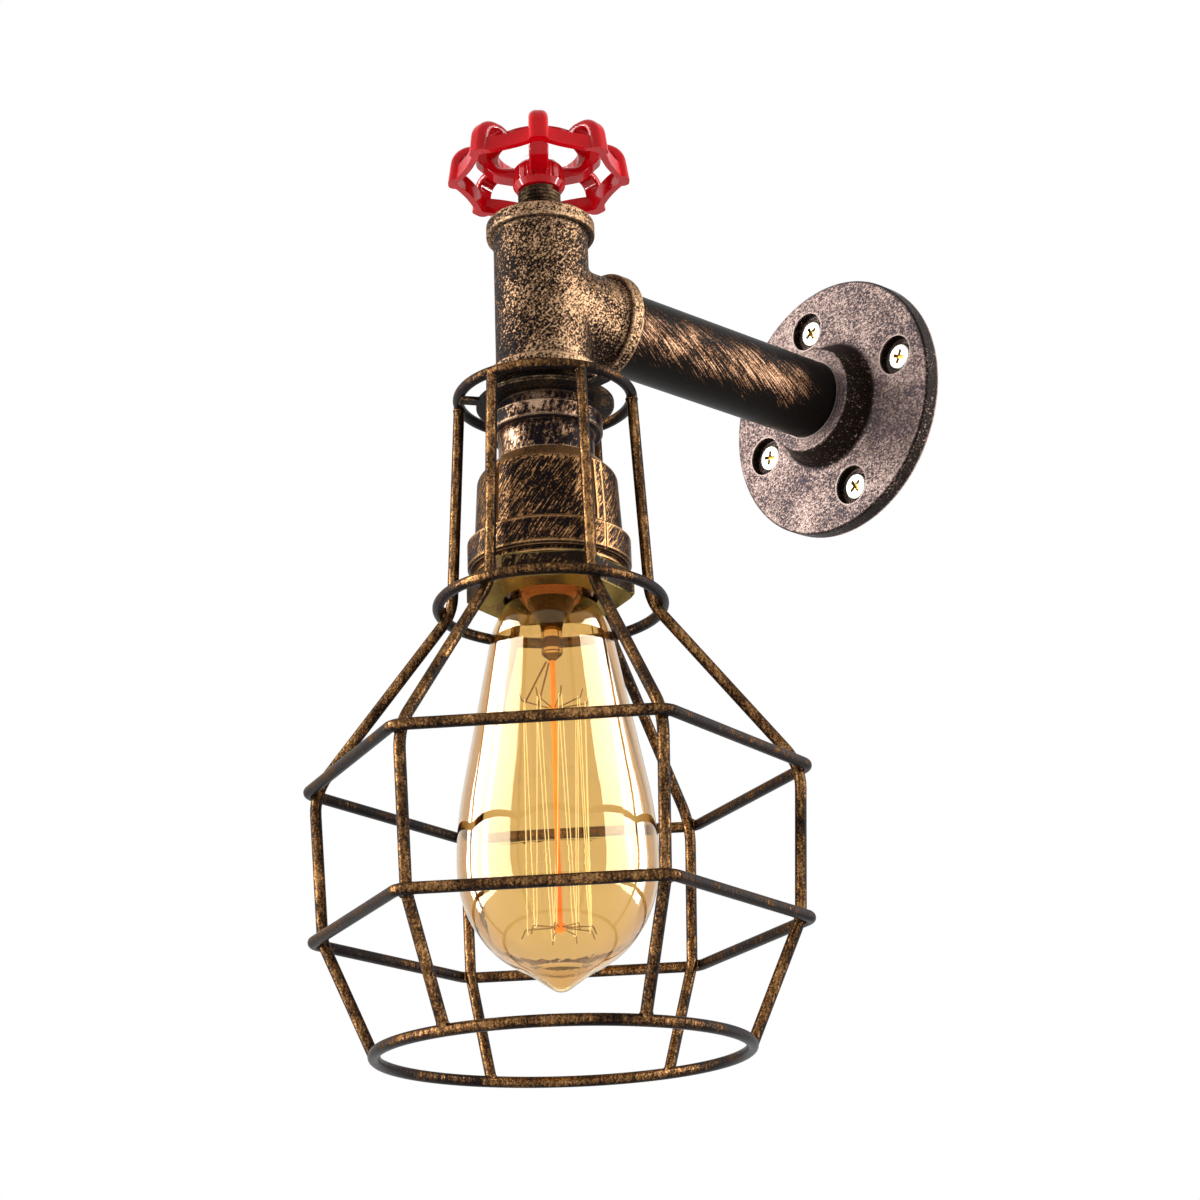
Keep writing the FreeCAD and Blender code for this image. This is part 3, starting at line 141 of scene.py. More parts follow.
def coat(name, dark, rub, light, cover, grain, brush, pits=0.7, patches=0.7, edge=0.6, metal=0.8,
         rough=(0.5, 0.33), bump=0.35, soft=1.0, line=0.0010, top=0.0, faces=None, highlight_axis=None,
         raised=None):
    """Blackened iron with rubbed paint: the dark skin, thin paint and full paint.

    cover is the share that is rubbed and grain the size of its pits. brush gives the strokes and
    their weight, and pits and patches are the weights of fine and broad mottling. edge is how far
    edges are worn and line how wide, rough is the roughness of skin and paint, and soft is how
    gently paint ends. top is how much lighter what looks up is painted, a painted light. faces is
    a direction, two cosines and the dark colour of what faces elsewhere, which on the flange is
    painted shade. highlight_axis is a line, its weight and the cosine at which it changes nothing:
    what is turned along it, on both sides, is painted lighter and the rest darker, a painted
    highlight and painted shade. raised gives places that are rubbed more."""
    material, tree, shader, place = fresh_material(name)
    face = tree.nodes.new("ShaderNodeNewGeometry").outputs["Normal"]
    strokes, weight = brush(tree, place)
    fine = noise(tree, place, 1.0 / grain, 3.0, 0.65)
    rubbed = times(tree, noise(tree, place, PATCH_SCALE, 3.0, 0.5), patches)
    rubbed = add(tree, rubbed, times(tree, strokes, weight))
    rubbed = add(tree, rubbed, times(tree, fine, pits))
    limit = 0.5 * (weight + pits + patches) + (0.5 - cover) * COVER_GAIN
    # Painted highlight and shade: faces turned along one line, on both sides, are painted lighter
    # and the rest darker.
    if highlight_axis:
        side, strength, neutral = highlight_axis
        lean = math_node(tree, "ABSOLUTE", dot_product(tree, face, side))
        lean = math_node(tree, "SUBTRACT", lean, neutral)
        rubbed = add(tree, rubbed, times(tree, lean, strength))
    # Painted light: upward faces are painted lighter.
    if top:
        rubbed = add(tree, rubbed, times(tree, dot_product(tree, face, (0, 0, 1)), top))
    # Faces turned elsewhere take their own dark colour; on the flange this is painted shade.
    if faces:
        side, low, high, elsewhere = faces
        facing = step_between(tree, dot_product(tree, face, side), low, high)
        rubbed = add(tree, rubbed, times(tree, facing, FACE_GAIN))
        limit += FACE_GAIN
        dark = blend_colour(tree, facing, elsewhere, dark)
    if raised:
        rubbed = add(tree, rubbed, raised(tree, place))
    bevel = shader_node(tree, "ShaderNodeBevel", Radius=line)
    bevel.samples = 6
    sharp = dot_product(tree, bevel.outputs[0], face)
    rubbed = add(tree, rubbed, step_between(tree, sharp, *EDGE_WEAR, 0.0, edge))
    paint, full = (
        step_between(tree, rubbed, limit + low * soft, limit + high * soft)
        for low, high in (PAINT_EDGE, PAINT_BODY)
    )
    colour = blend_colour(tree, paint, dark, blend_colour(tree, full, rub, light))
    tree.links.new(colour, shader.inputs["Base Color"])
    tree.links.new(times(tree, paint, metal), shader.inputs["Metallic"])
    tree.links.new(step_between(tree, paint, 0.0, 1.0, *rough), shader.inputs["Roughness"])
    shader.inputs["Specular IOR Level"].default_value = BLACK_GLOSS
    shader.inputs["Specular Tint"].default_value = METAL_RIM
    height = add(tree, fine, times(tree, strokes, STROKE_RELIEF))
    relief(tree, shader, height, bump, GRAIN_HEIGHT)
    return material


def straight_brush(turn, stretch, weight, scale=420.0):
    """Strokes along one direction: turned in radians and stretched on each axis."""
    def strokes(tree, place):
        return noise(tree, turned(tree, place, turn, stretch), scale, 5.0, 0.62), weight
    return strokes


def finish_with(material, *names):
    """Give CAD pieces their material, over the whole of each."""
    for name in names:
        mesh = nodes[name].data
        mesh.materials.clear()
        mesh.materials.append(material)
        for polygon in mesh.polygons:
            polygon.material_index = 0


# What does not face out from the wall, the hub's side, the rim, the back and the walls of the screw
# recesses, is painted near black, darker than the face's own dark: painted shade.
flange_coat = coat(
    "flange_coat",
    dark=(0.095, 0.076, 0.092), rub=(0.24, 0.162, 0.132), light=(0.47, 0.365, 0.330),
    cover=0.66, grain=0.0007, pits=1.4, patches=0.55, edge=0.6, line=0.0014,
    brush=straight_brush((0.0, 0.7, 0.0), (1.0, 1.0, 3.5), 0.9, 700.0),
    metal=0.4, rough=(0.40, 0.38), bump=0.7, soft=1.4,
    faces=((0, -1, 0), 0.6, 0.97, (0.010, 0.006, 0.004)),
)
finish_with(flange_coat, "wall_flange")


# Wall screws: zinc-plated steel with pan heads, which hold the flange to the wall from
# dark recesses in it. The cross slots are coloured a darker brass yellow.
HEAD_FRONT = (-0.0037, -0.0034)  # the brass sets in between these depths, behind the front
HEAD_SEAT = (-0.0024, -0.0021)  # and ends between these, before the head's seat
SLOT_BRASS = (0.42, 0.27, 0.04)


def coordinate(tree, place, axis):
    """One of the three coordinates of a place, in metres."""
    return shader_node(tree, "ShaderNodeSeparateXYZ", _0=place).outputs["XYZ".index(axis)]


def plated(name, colour, tint, roughness, scratch):
    """Bare or plated metal, softly mottled and finely scratched. scratch is a scratch's length."""
    material, tree, shader, place = fresh_material(name)
    cloud = noise(tree, place, 180.0, 3.0, 0.5)
    scratches = noise(tree, turned(tree, place, (0.4, 0.3, 0.2), (1, 1, 6)), 1.0 / scratch)
    colour_out = blend_colour(tree, step_between(tree, cloud, 0.4, 0.68), colour, tint)
    tree.links.new(colour_out, shader.inputs["Base Color"])
    shader.inputs["Metallic"].default_value = 1.0
    rough = step_between(tree, scratches, 0.3, 0.7, roughness - 0.08, roughness + 0.1)
    tree.links.new(rough, shader.inputs["Roughness"])
    relief(tree, shader, scratches, 0.12, 0.0001)
    return material


def recolour(material, axis, where, colour):
    """Another colour in one zone of a material, which where() finds from one coordinate."""
    tree = material.node_tree
    along = coordinate(tree, tree.nodes["Texture Coordinate"].outputs["Object"], axis)
    base = tree.nodes["Principled BSDF"].inputs["Base Color"]
    zone = where(tree, along)
    tree.links.new(blend_colour(tree, zone, base.links[0].from_socket, colour), base)


def in_slot(tree, depth):
    behind_front = step_between(tree, depth, *HEAD_FRONT)
    before_seat = step_between(tree, depth, *HEAD_SEAT, 1.0, 0.0)
    return times(tree, behind_front, before_seat)


screw_plate = plated("screw_plate", (0.56, 0.57, 0.51), (0.42, 0.42, 0.34), 0.38, 0.0006)
recolour(screw_plate, "Y", in_slot, SLOT_BRASS)
finish_with(screw_plate, "wall_screws")


# Arm: three-quarter inch steel pipe, screwed into flange and tee. It is blackened and
# streaked with copper along a slant, as a dry brush leaves it.
BARE_END = (-0.038, -0.012)  # between these distances from the wall the paint runs out
BARE_RUB = -0.55


def winding_brush(axis, centre, turn, stretch, scale, weight):
    """Strokes that wind round an axis: the pattern turns by so many radians each metre along it."""
    def strokes(tree, place):
        wound = shader_node(
            tree, "ShaderNodeVectorRotate", Vector=place, Center=centre,
            Angle=times(tree, coordinate(tree, place, axis), turn),
        )
        wound.rotation_type = axis + "_AXIS"
        squeeze = tuple(stretch if a == axis else 1.0 for a in "XYZ")
        drawn_out = turned(tree, wound.outputs[0], (0, 0, 0), squeeze)
        return noise(tree, drawn_out, scale, 5.0, 0.62), weight
    return strokes


def bare_by_the_hub(tree, place):
    """The pipe's end at the wall, which the brush missed."""
    return step_between(tree, coordinate(tree, place, "Y"), *BARE_END, 0.0, BARE_RUB)


# The copper band along the pipe's upper front, with black above and below it, is a painted
# highlight and painted shade.
pipe_coat = coat(
    "pipe_coat",
    dark=(0.005, 0.004, 0.0035), rub=(0.115, 0.050, 0.022), light=(0.36, 0.230, 0.145),
    cover=0.16, grain=0.0006, pits=0.8, patches=0.7, edge=0.2,
    brush=winding_brush("Y", (0, 0, 0), -42.0, 0.045, 2700.0, 1.7),
    rough=(0.38, 0.32), bump=0.2, soft=1.1,
    highlight_axis=((0.955, 0.0, -0.28), 0.9, 0.82), raised=bare_by_the_hub,
)
finish_with(pipe_coat, "arm_pipe")


# Tee: malleable iron with banded ends, sand-cast, so its skin is pitted and the paint
# catches only on the high grains. The arm, the top plug and the bottom bushing screw into it.
LAMP_AXIS = (0, -0.135, 0)
RUN_COLLAR = (0.0232, 0.0238)  # how far above and below its middle the collars set in
BRANCH_COLLAR = (-0.1120, -0.1114)  # how far from the wall the third one does
COLLAR_RUB = 0.08


def tee_collars(tree, place):
    """The three raised collars, which are rubbed more than the body between them."""
    rise = math_node(tree, "ABSOLUTE", coordinate(tree, place, "Z"))
    run = step_between(tree, rise, *RUN_COLLAR, 0.0, COLLAR_RUB)
    branch = step_between(tree, coordinate(tree, place, "Y"), *BRANCH_COLLAR, 0.0, COLLAR_RUB)
    return math_node(tree, "MAXIMUM", run, branch)


# Faces turned along one slant line, on both sides, are painted a little lighter: a painted
# highlight.
tee_coat = coat(
    "tee_coat",
    dark=(0.005, 0.004, 0.005), rub=(0.120, 0.062, 0.028), light=(0.49, 0.305, 0.175),
    cover=0.27, grain=0.0007, pits=1.6, patches=0.45, edge=0.9, line=0.0016,
    brush=winding_brush("Z", LAMP_AXIS, -60.0, 0.16, 2300.0, 1.0), bump=0.7, soft=0.9,
    highlight_axis=((0.95, -0.25, 0.2), 0.22, 0.35), raised=tee_collars,
)
finish_with(tee_coat, "tee")


# Reducing plug, bushing and the plate under the tee, and the stub under the wheel: turned
# steel left nearly black, with gold on the crests. The stub's thread is cut here in full.
STUB = {"radius": 0.00685, "root": 0.00625, "pitch": 0.001336, "foot": 0.01615, "top": 0.0402}
STUB_TOOTH = ((0.0, 0.12), (1.0, 0.3), (0.0, 0.16), (-1.0, 0.3), (0.0, 0.12))
STUB_STEPS = 40  # a turn
MERGE = 0.00001  # points nearer to each other than this become one
SMOOTH_BELOW = 0.6  # radians


def start_profile(name, x, z):
    """One point beside the lamp's axis, in edit mode, from which a profile is extruded."""
    bpy.ops.object.select_all(action="DESELECT")
    bpy.ops.mesh.primitive_plane_add(size=0.001, location=LAMP_AXIS)
    made = bpy.context.object
    made.name = name
    bpy.ops.object.mode_set(mode="EDIT")
    bpy.ops.mesh.select_all(action="SELECT")
    bpy.ops.mesh.merge(type="CENTER")
    bpy.ops.transform.translate(value=(x, 0, z))
    return made


def draw_on(outward, upward):
    """Extrude the profile's last point by one more step."""
    bpy.ops.mesh.extrude_region_move(TRANSFORM_OT_translate={"value": (outward, 0, upward)})


def wind(made, turns, pitch, steps):
    """Turn the profile about the axis, rising by a pitch each turn, and close what stays open."""
    bpy.ops.object.mode_set(mode="OBJECT")
    winding = made.modifiers.new("winding", "SCREW")
    winding.angle, winding.screw_offset, winding.iterations = math.tau, pitch, turns
    winding.steps = winding.render_steps = steps
    winding.use_merge_vertices, winding.merge_threshold = True, MERGE
    winding.use_normal_calculate = True
    bpy.ops.object.modifier_apply(modifier="winding")
    bpy.ops.object.mode_set(mode="EDIT")
    bpy.ops.mesh.select_all(action="SELECT")
    bpy.ops.mesh.remove_doubles(threshold=MERGE)
    bpy.ops.mesh.fill_holes(sides=0)
    bpy.ops.mesh.select_all(action="SELECT")
    bpy.ops.mesh.normals_make_consistent(inside=False)
    bpy.ops.object.mode_set(mode="OBJECT")
    bpy.ops.object.transform_apply(location=True, rotation=True, scale=True)
    bpy.ops.object.shade_smooth_by_angle(angle=SMOOTH_BELOW)


thread_coat = coat(
    "thread_coat",
    dark=(0.007, 0.006, 0.006), rub=(0.08, 0.048, 0.022), light=(0.36, 0.25, 0.15),
    cover=0.34, grain=0.0006, edge=0.15, bump=0.8,
    brush=straight_brush((0.0, 0.2, 0.0), (1, 1, 1), 0.4),
)
finish_with(thread_coat, "top_plug", "threaded_stub", "bottom_bushing", "cage_plate")
stub = start_profile("stub_thread", STUB["root"], STUB["foot"])
for out, rise in STUB_TOOTH:
    draw_on(out * (STUB["radius"] - STUB["root"]), rise * STUB["pitch"])
stub_turns = int((STUB["top"] - STUB["foot"]) / STUB["pitch"]) - 1
wind(stub, stub_turns, STUB["pitch"], STUB_STEPS)
stub.data.materials.append(thread_coat)
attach(stub, "frame")
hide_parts("threaded_stub")


# Handwheel: a small cast wheel with eight points, dipped in bright red enamel that
# shines and is darker in uneven drifts, held by a zinc screw and washer.
ENAMEL_RED, ENAMEL_POOLED = (0.64, 0.001, 0.007), (0.48, 0.001, 0.004)
enamel, tree, shader, place = fresh_material("red_enamel")
drift = noise(tree, place, 90.0, 3.0, 0.5)
ripple = noise(tree, place, 380.0, 2.0, 0.5)
pooled = step_between(tree, drift, 0.35, 0.7)
tree.links.new(blend_colour(tree, pooled, ENAMEL_RED, ENAMEL_POOLED), shader.inputs["Base Color"])
tree.links.new(step_between(tree, ripple, 0.3, 0.7, 0.12, 0.22), shader.inputs["Roughness"])
shader.inputs["Specular IOR Level"].default_value = 0.05
shader.inputs["Coat Weight"].default_value = 0.28
shader.inputs["Coat Roughness"].default_value = 0.05
relief(tree, shader, ripple, 0.25, 0.0003)
finish_with(enamel, "handwheel")
wheel_zinc = plated("wheel_zinc", (0.82, 0.81, 0.77), (0.66, 0.64, 0.58), 0.28, 0.0005)
finish_with(wheel_zinc, "wheel_screw", "wheel_washer")


# Cage: round steel wire, bent and welded, and held by its top ring to the tabs of the plate.
# Bronze is rubbed over its black along the runs, and faces turned along one line are painted
# brighter, a painted highlight.
wire_coat = coat(
    "wire_coat",
    dark=(0.008, 0.006, 0.006), rub=(0.092, 0.043, 0.016), light=(0.52, 0.275, 0.105),
    cover=0.38, grain=0.0006, pits=0.7, patches=0.5, edge=0.1,
    brush=straight_brush((0.5, 0.4, 0.7), (1.6, 1.6, 0.4), 0.6, 700.0),
    rough=(0.36, 0.19), bump=0.16, soft=1.6, highlight_axis=((0.6, -0.75, 0.1), 0.36, 0.40),
)
finish_with(
    wire_coat, "cage_top_ring", "cage_neck_ring", "cage_upper_hex", "cage_lower_hex",
    "cage_bottom_ring", "cage_uprights",
)


# Welds: a small bead of melted steel where each upright meets a ring, wider where two wires
# cross and a collar where an upright ends on a ring, under the same paint as the wire.
WELDS = (  # from the top ring down, in metres from the lamp's axis and in degrees
    {"radius": 0.0269, "height": -0.0344, "size": (0.0020, 0.0020, 0.0010), "tilt": 0.0},
    {"radius": 0.0323, "height": -0.1009, "size": (0.0010, 0.0022, 0.0021), "tilt": 0.0},
    {"radius": 0.0717, "height": -0.1545, "size": (0.0010, 0.0022, 0.0021), "tilt": 0.0},
    {"radius": 0.0701, "height": -0.1994, "size": (0.0010, 0.0022, 0.0021), "tilt": 0.0},
    {"radius": 0.0541, "height": -0.2328, "size": (0.0020, 0.0020, 0.0011), "tilt": 23.5},
)
UPRIGHT_COUNT = 6
FIRST_UPRIGHT = 43.8  # degrees
weld_parts = []
for seed, weld in enumerate(WELDS):
    bpy.ops.object.select_all(action="DESELECT")
    bpy.ops.mesh.primitive_ico_sphere_add(subdivisions=3, radius=1.0, location=(0, 0, 0))
    bead = bpy.context.object
    bpy.ops.object.mode_set(mode="EDIT")
    bpy.ops.mesh.select_all(action="SELECT")
    bpy.ops.transform.vertex_random(offset=0.05, uniform=0.2, normal=0.9, seed=seed)
    bpy.ops.transform.resize(value=weld["size"], center_override=(0, 0, 0))
    bpy.ops.transform.rotate(
        value=math.radians(weld["tilt"]), orient_axis="Y", center_override=(0, 0, 0)
    )
    bpy.ops.transform.translate(value=(weld["radius"], 0, weld["height"]))
    bpy.ops.object.mode_set(mode="OBJECT")
    beads = [bead]
    while len(beads) < UPRIGHT_COUNT:
        beads.append(bead.copy())
        beads[-1].data = bead.data.copy()
        bpy.context.collection.objects.link(beads[-1])
    for k, each in enumerate(beads):
        each.rotation_euler = (0, 0, math.radians(FIRST_UPRIGHT + 360 / UPRIGHT_COUNT * k))
        each.location = LAMP_AXIS
    weld_parts += beads
bpy.context.view_layer.update()
bpy.ops.object.select_all(action="DESELECT")
for bead in weld_parts:
    bead.select_set(True)
bpy.context.view_layer.objects.active = weld_parts[0]
bpy.ops.object.join()
welds = bpy.context.object
welds.name = "weld_beads"
bpy.ops.object.transform_apply(location=True, rotation=True, scale=True)
bpy.ops.object.shade_smooth()
welds.data.materials.append(wire_coat)
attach(welds, "frame")


# Lampholder shells: spun and turned steel that screws together, rubbed with bronze round
# the waist, with lavender and copper patches on the lock ring and neck.
# Upward faces of the shells are painted lighter: painted light on their tops.
holder_coat = coat(
    "holder_coat",
    dark=(0.007, 0.005, 0.006), rub=(0.130, 0.060, 0.024), light=(0.52, 0.280, 0.115),
    cover=0.37, grain=0.0006, pits=0.8, patches=0.5, edge=1.1, line=0.0014, top=0.42,
    brush=winding_brush("Z", LAMP_AXIS, -30.0, 0.13, 2100.0, 1.6),
    rough=(0.36, 0.28), bump=0.2, soft=0.9,
)
finish_with(holder_coat, "holder_body", "holder_band")
# The lock ring and neck are painted lighter on their upward faces too: painted light.
collar_coat = coat(
    "collar_coat",
    dark=(0.008, 0.006, 0.009), rub=(0.14, 0.075, 0.038), light=(0.50, 0.33, 0.22),
    cover=0.50, grain=0.0006, pits=0.8, patches=1.3, edge=1.0, line=0.0014, top=0.4,
    brush=winding_brush("Z", LAMP_AXIS, -14.0, 0.5, 900.0, 1.2),
    rough=(0.30, 0.26), bump=0.3, soft=1.2,
)
finish_with(collar_coat, "lock_ring", "holder_neck")
nut_coat = coat(
    "nut_coat",
    dark=(0.010, 0.008, 0.007), rub=(0.15, 0.085, 0.035), light=(0.22, 0.175, 0.055),
    cover=1.0, grain=0.0009, pits=0.5, patches=0.5, edge=0.7,
    brush=winding_brush("Z", LAMP_AXIS, -30.0, 0.15, 1300.0, 1.0),
    rough=(0.4, 0.22), bump=0.15, faces=((0, 0, -1), 0.85, 0.97, (0.018, 0.010, 0.007)),
)
finish_with(nut_coat, "holder_hex_nut")


# Inside the lampholder: the white ceramic insert with its brass shell, contacts and zinc
# screws, and the steel nipple and nut that hold the cage plate to the bushing.
def glazed(name, colour, spots, roughness):
    """Fired clay or moulded plastic: one colour with a faint drift and fine specks."""
    material, tree, shader, place = fresh_material(name)
    drift = noise(tree, place, 260.0)
    specks = step_between(tree, drift, 0.5, 0.75)
    tree.links.new(blend_colour(tree, specks, colour, spots), shader.inputs["Base Color"])
    rough = step_between(tree, drift, 0.3, 0.7, roughness, roughness + 0.1)
    tree.links.new(rough, shader.inputs["Roughness"])
    relief(tree, shader, drift, 0.1, 0.0002)
    return material


ceramic = glazed("ceramic", (0.84, 0.83, 0.79), (0.74, 0.72, 0.67), 0.22)
brass = plated("brass_sheet", (0.80, 0.58, 0.24), (0.62, 0.42, 0.17), 0.26, 0.0008)
zinc = plated("zinc_plate", (0.86, 0.85, 0.80), (0.74, 0.72, 0.64), 0.3, 0.0006)
turned_steel = plated("turned_steel", (0.50, 0.49, 0.47), (0.36, 0.35, 0.33), 0.34, 0.0007)
finish_with(ceramic, "socket_insert")
finish_with(brass, "screw_shell", "centre_contact", "terminal_blocks", "earth_block")
finish_with(zinc, "terminal_screws")
finish_with(turned_steel, "lower_nipple", "nipple_nut")


# Wires: live, neutral and earth in plastic sleeves, which run from the wall to the
# terminals, where the bared ends of twisted copper are held by screws.
EARTH_GREEN, EARTH_YELLOW = (0.05, 0.35, 0.04), (0.75, 0.62, 0.03)
brown_sleeve = glazed("brown_sleeve", (0.19, 0.075, 0.035), (0.15, 0.06, 0.028), 0.38)
blue_sleeve = glazed("blue_sleeve", (0.03, 0.13, 0.50), (0.025, 0.10, 0.42), 0.38)
striped_sleeve, tree, shader, place = fresh_material("striped_sleeve")
across = turned(tree, place, (0, 0, 0), (1, 0, 0.0))
stripe = shader_node(tree, "ShaderNodeTexWave", Vector=across, Scale=90.0).outputs[1]
stripe = step_between(tree, stripe, 0.45, 0.55)
tree.links.new(blend_colour(tree, stripe, EARTH_GREEN, EARTH_YELLOW), shader.inputs["Base Color"])
rough = step_between(tree, noise(tree, place, 500.0), 0.3, 0.7, 0.36, 0.48)
tree.links.new(rough, shader.inputs["Roughness"])
copper_strand = plated("copper_strand", (0.80, 0.40, 0.22), (0.60, 0.27, 0.13), 0.3, 0.0004)
finish_with(brown_sleeve, "live_wire")
finish_with(blue_sleeve, "neutral_wire")
finish_with(striped_sleeve, "earth_wire")
finish_with(copper_strand, "wire_ends")


# Bulb: amber blown glass. A clear stem, melted into its neck with a flare, carries the glass rod,
# its hooks and the lead-in wires. The flare is painted copper, a painted reflection of the cap.
GLASS_IOR = 1.45
STEM_FLARE = (-0.1085, -0.1030)  # between these heights the stem goes over into its flare
# copper on the flare: a painted reflection of the cap
FLARE_PAINTED_REFLECTION = (0.27, 0.105, 0.060)


def clear_glass(name, colour, edge_colour, sheen):
    """Glass that takes more of its colour where it is seen edge-on, as a longer way through it
    does. sheen is the tint of what it mirrors."""
    material, tree, shader, place = fresh_material(name)
    facing = tree.nodes.new("ShaderNodeLayerWeight")
    facing.inputs[0].default_value = 0.5
    edge_on = step_between(tree, facing.outputs["Facing"], 0.25, 0.95)
    tree.links.new(blend_colour(tree, edge_on, colour, edge_colour), shader.inputs["Base Color"])
    shader.inputs["Transmission Weight"].default_value = 1.0
    shader.inputs["IOR"].default_value = GLASS_IOR
    shader.inputs["Specular Tint"].default_value = (*sheen, 1)
    seeds = noise(tree, turned(tree, place, (0, 0, 0), (1, 1, 0.4)), 130.0, 2.0, 0.5)
    tree.links.new(step_between(tree, seeds, 0.4, 0.8, 0.0, 0.02), shader.inputs["Roughness"])
    relief(tree, shader, seeds, 0.05, 0.0003)
    return material


amber_glass = clear_glass("amber_glass", (0.85, 0.65, 0.35), (0.50, 0.23, 0.05), (1.0, 0.80, 0.50))
stem_glass = clear_glass("stem_glass", (1.0, 0.74, 0.48), (0.50, 0.22, 0.09), (0.8, 0.5, 0.3))
# Painted reflection: the flare takes the cap's copper.
recolour(stem_glass, "Z", lambda tree, rise: step_between(tree, rise, *STEM_FLARE), FLARE_PAINTED_REFLECTION)
support_wire = plated("support_wire", (0.40, 0.30, 0.20), (0.25, 0.18, 0.12), 0.35, 0.0004)
finish_with(amber_glass, "bulb_glass")
finish_with(stem_glass, "bulb_stem")
finish_with(support_wire, "filament_hooks", "lead_in_wires")


# Bulb cap: rolled brass sheet with a rolled thread, cemented on the neck and closed by a
# black glass insulator with a bead of solder. It screws into the lampholder with the bulb.
CAP_PROFILE = (  # outward and upward, in millimetres
    (12.40, -97.0), (12.85, -97.0), (13.0, -96.7), (12.5, -96.1), (12.5, -80.6), (12.3, -79.7),
    (11.6, -78.6), (9.6, -76.0), (9.0, -76.0), (11.2, -79.0), (12.0, -80.4), (12.40, -82.0),
)
CAP_STEPS = 64
RIDGE = {"root": 0.01245, "depth": 0.00062, "pitch": 0.003629, "foot": -0.0957, "turns": 4}
RIDGE_FILL = 0.98  # share of the pitch that the ridge's foot takes
RIDGE_POINTS = 10
RIDGE_STEPS = 48


def close_profile():
    """Join the profile's last point to its first."""
    bpy.ops.mesh.select_all(action="SELECT")
    bpy.ops.mesh.edge_face_add()
    bpy.ops.mesh.delete(type="ONLY_FACE")


cap_brass = plated("cap_brass", (0.30, 0.105, 0.045), (0.20, 0.065, 0.028), 0.3, 0.0006)
finish_with(cap_brass, "bulb_cap")
points = [(x / 1000, z / 1000) for x, z in CAP_PROFILE]
cap_sleeve = start_profile("cap_sleeve", *points[0])
for before, after in zip(points, points[1:]):
    draw_on(after[0] - before[0], after[1] - before[1])
close_profile()
wind(cap_sleeve, 1, 0.0, CAP_STEPS)
cap_thread = start_profile("cap_thread", RIDGE["root"], RIDGE["foot"])
swell = [0.5 - 0.5 * math.cos(math.tau * k / RIDGE_POINTS) for k in range(RIDGE_POINTS + 1)]
for before, after in zip(swell, swell[1:]):
    draw_on((after - before) * RIDGE["depth"], RIDGE_FILL * RIDGE["pitch"] / RIDGE_POINTS)
close_profile()
wind(cap_thread, RIDGE["turns"], RIDGE["pitch"], RIDGE_STEPS)
for made in (cap_sleeve, cap_thread):
    made.data.materials.append(cap_brass)
    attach(made, "bulb")
    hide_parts("bulb_cap")
black_glass = glazed("black_glass", (0.012, 0.011, 0.014), (0.03, 0.03, 0.035), 0.12)
solder = plated("solder", (0.62, 0.62, 0.60), (0.48, 0.48, 0.46), 0.4, 0.0005)
finish_with(black_glass, "bulb_cap_glass")
finish_with(solder, "bulb_tip_contact")


# Filament: carbon thread strung up and down between the hooks, which glows pale yellow,
# and the glass rod in its midst, which is given an orange glow of its own: a painted glow, as from
# the filament.
def glowing(name, colour, glow, strength, scale):
    """A body that gives off light, uneven along its length. On the glass rod this is a painted
    glow.
    """
    material, tree, shader, place = fresh_material(name)
    along = noise(tree, turned(tree, place, (0, 0, 0), (1, 1, 0.5)), scale, 3.0, 0.6)
    heat = blend_colour(tree, step_between(tree, along, 0.35, 0.7), colour, glow)
    tree.links.new(heat, shader.inputs["Base Color"])
    tree.links.new(heat, shader.inputs["Emission Color"])
    shader.inputs["Emission Strength"].default_value = strength
    shader.inputs["Roughness"].default_value = 0.35
    return material


filament_glow = glowing("filament_glow", (1.0, 1.0, 0.85), (1.0, 0.92, 0.60), 0.75, 300.0)
# Painted glow on the glass rod.
rod_glow = glowing("rod_glow", (1.0, 0.42, 0.06), (0.90, 0.20, 0.02), 0.45, 60.0)
finish_with(filament_glow, "filament")
finish_with(rod_glow, "filament_rod")


# Setting: a pale floor below the lamp and a white surround. Both show white to the camera
# and in what mirrors them, and light the lamp less than that.
FLOOR_SIZE, FLOOR_HEIGHT = 6.0, -0.42
FLOOR_GLOW = 0.64
SURROUND_LIGHT = 0.4
bpy.ops.mesh.primitive_plane_add(size=FLOOR_SIZE, location=(0, LAMP_AXIS[1], FLOOR_HEIGHT))
floor = bpy.context.object
floor.name = "floor"


def when_seen(tree, otherwise, strength):
    """One strength for rays from the camera, a mirror or glass, and another for all else."""
    rays = tree.nodes.new("ShaderNodeLightPath").outputs
    seen = math_node(tree, "MAXIMUM", rays["Is Camera Ray"], rays["Is Transmission Ray"])
    seen = math_node(tree, "MAXIMUM", seen, rays["Is Glossy Ray"])
    return step_between(tree, seen, 0.0, 1.0, otherwise, strength)


pale_floor, tree, shader, place = fresh_material("pale_floor")
drift = noise(tree, place, 2.0, 2.0, 0.5)
pale = blend_colour(tree, drift, (0.82, 0.82, 0.82), (0.78, 0.78, 0.78))
tree.links.new(pale, shader.inputs["Base Color"])
shader.inputs["Roughness"].default_value = 0.8
shader.inputs["Emission Color"].default_value = (1, 1, 1, 1)
tree.links.new(when_seen(tree, 0.0, FLOOR_GLOW), shader.inputs["Emission Strength"])
floor.data.materials.append(pale_floor)
world = bpy.data.worlds.new("surround")
bpy.context.scene.world = world
world.use_nodes = True
background = world.node_tree.nodes["Background"]
background.inputs["Color"].default_value = (1, 1, 1, 1)
world.node_tree.links.new(
    when_seen(world.node_tree, SURROUND_LIGHT, 1.0), background.inputs["Strength"]
)


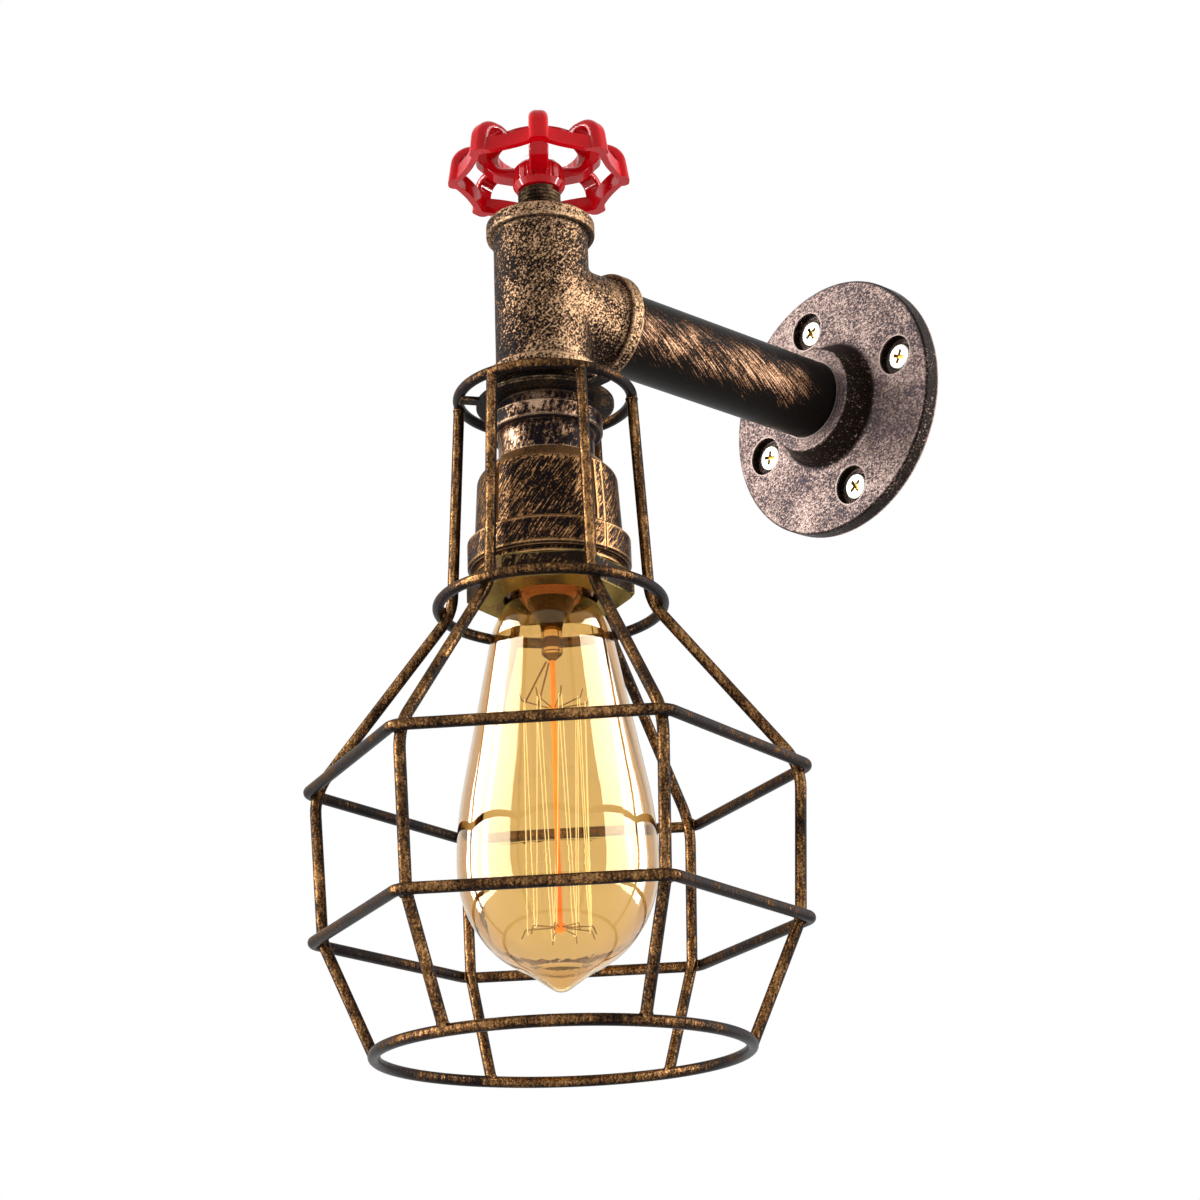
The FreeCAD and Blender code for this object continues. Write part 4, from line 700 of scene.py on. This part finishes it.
# Lights: a tall soft panel on each side, a narrow strip behind it that draws lines on metal,
# a narrower one for the wheel's enamel, and a panel that only the glass mirrors.
LIT_MIDDLE = Vector((0, LAMP_AXIS[1], 0.06))
SIDES = (  # name, bearing, bearing of the glass's panel and its width, watts of the strip
    ("left", -129.0, -129.0, 1.1, 8.0),
    ("right", 48.0, 46.0, 0.95, 4.0),
)
PANEL = {"distance": 0.8, "width": 1.05, "height": 1.1, "power": 10.5}
STRIP = {"distance": 0.95, "width": 0.14, "height": 1.2}
WHEEL_STRIP = {"distance": 0.9, "width": 0.06, "height": 1.0, "power": 18.0}
GLASS_PANEL = {"distance": 0.79, "height": 1.1}
GLASS_PANEL_POWER = 60.0  # watts for each metre of width


def soft_light(name, bearing, distance, width, height, power):
    """A flat light at a bearing in degrees, level with the lamp and turned to it."""
    turn = math.radians(bearing)
    lamp = bpy.data.lights.new(name, "AREA")
    lamp.shape = "RECTANGLE"
    lamp.size, lamp.size_y, lamp.energy = width, height, power
    holder = bpy.data.objects.new(name, lamp)
    holder.location = LIT_MIDDLE + Vector((math.cos(turn), math.sin(turn), 0)) * distance
    holder.rotation_mode = "QUATERNION"
    holder.rotation_quaternion = (LIT_MIDDLE - holder.location).to_track_quat("-Z", "Y")
    bpy.context.collection.objects.link(holder)
    holder.visible_camera = holder.visible_transmission = False
    return holder


def only_for(name, piece):
    """A collection that a light's glints are kept to."""
    group = bpy.data.collections.new(name)
    group.objects.link(piece)
    return group


glass_only = only_for("glass_only", nodes["bulb_glass"])
wheel_only = only_for("wheel_only", nodes["handwheel"])
for name, bearing, glass_bearing, glass_width, strip_power in SIDES:
    soft_light(name + "_panel", bearing, **PANEL)
    strip = soft_light(name + "_strip", bearing, **STRIP, power=strip_power)
    strip.visible_diffuse = False
    wheel_strip = soft_light(name + "_wheel_strip", bearing, **WHEEL_STRIP)
    wheel_strip.visible_diffuse = False
    wheel_strip.light_linking.receiver_collection = wheel_only
    glint = soft_light(
        name + "_glass_panel", glass_bearing, **GLASS_PANEL,
        width=glass_width, power=GLASS_PANEL_POWER * glass_width,
    )
    glint.light_linking.receiver_collection = glass_only


# Camera: below the lamp and in front of it, level within about two degrees, with the view
# of a long lens, as in the photograph.
CAMERA_PLACE = (0.52443, -0.57941, -0.34580)
AZIMUTH, ELEVATION, ROLL = (math.radians(angle) for angle in (48.485, -19.748, -2.037))
camera_data = bpy.data.cameras.new("camera")
camera = bpy.data.objects.new("camera", camera_data)
bpy.context.collection.objects.link(camera)
level = math.cos(ELEVATION)
back = Vector((math.sin(AZIMUTH) * level, -math.cos(AZIMUTH) * level, math.sin(ELEVATION)))
right = Vector((math.cos(AZIMUTH), math.sin(AZIMUTH), 0))
up = back.cross(right)
tilted_right = math.cos(ROLL) * right + math.sin(ROLL) * up
tilted_up = math.cos(ROLL) * up - math.sin(ROLL) * right
turn = Matrix((tilted_right, tilted_up, back)).transposed().to_4x4()
camera.matrix_world = Matrix.Translation(CAMERA_PLACE) @ turn
camera_data.sensor_width, camera_data.lens = 36.0, 72.793
camera_data.clip_start, camera_data.clip_end = 0.01, 20.0
bpy.context.scene.camera = camera
bpy.context.scene.view_settings.view_transform = "Standard"
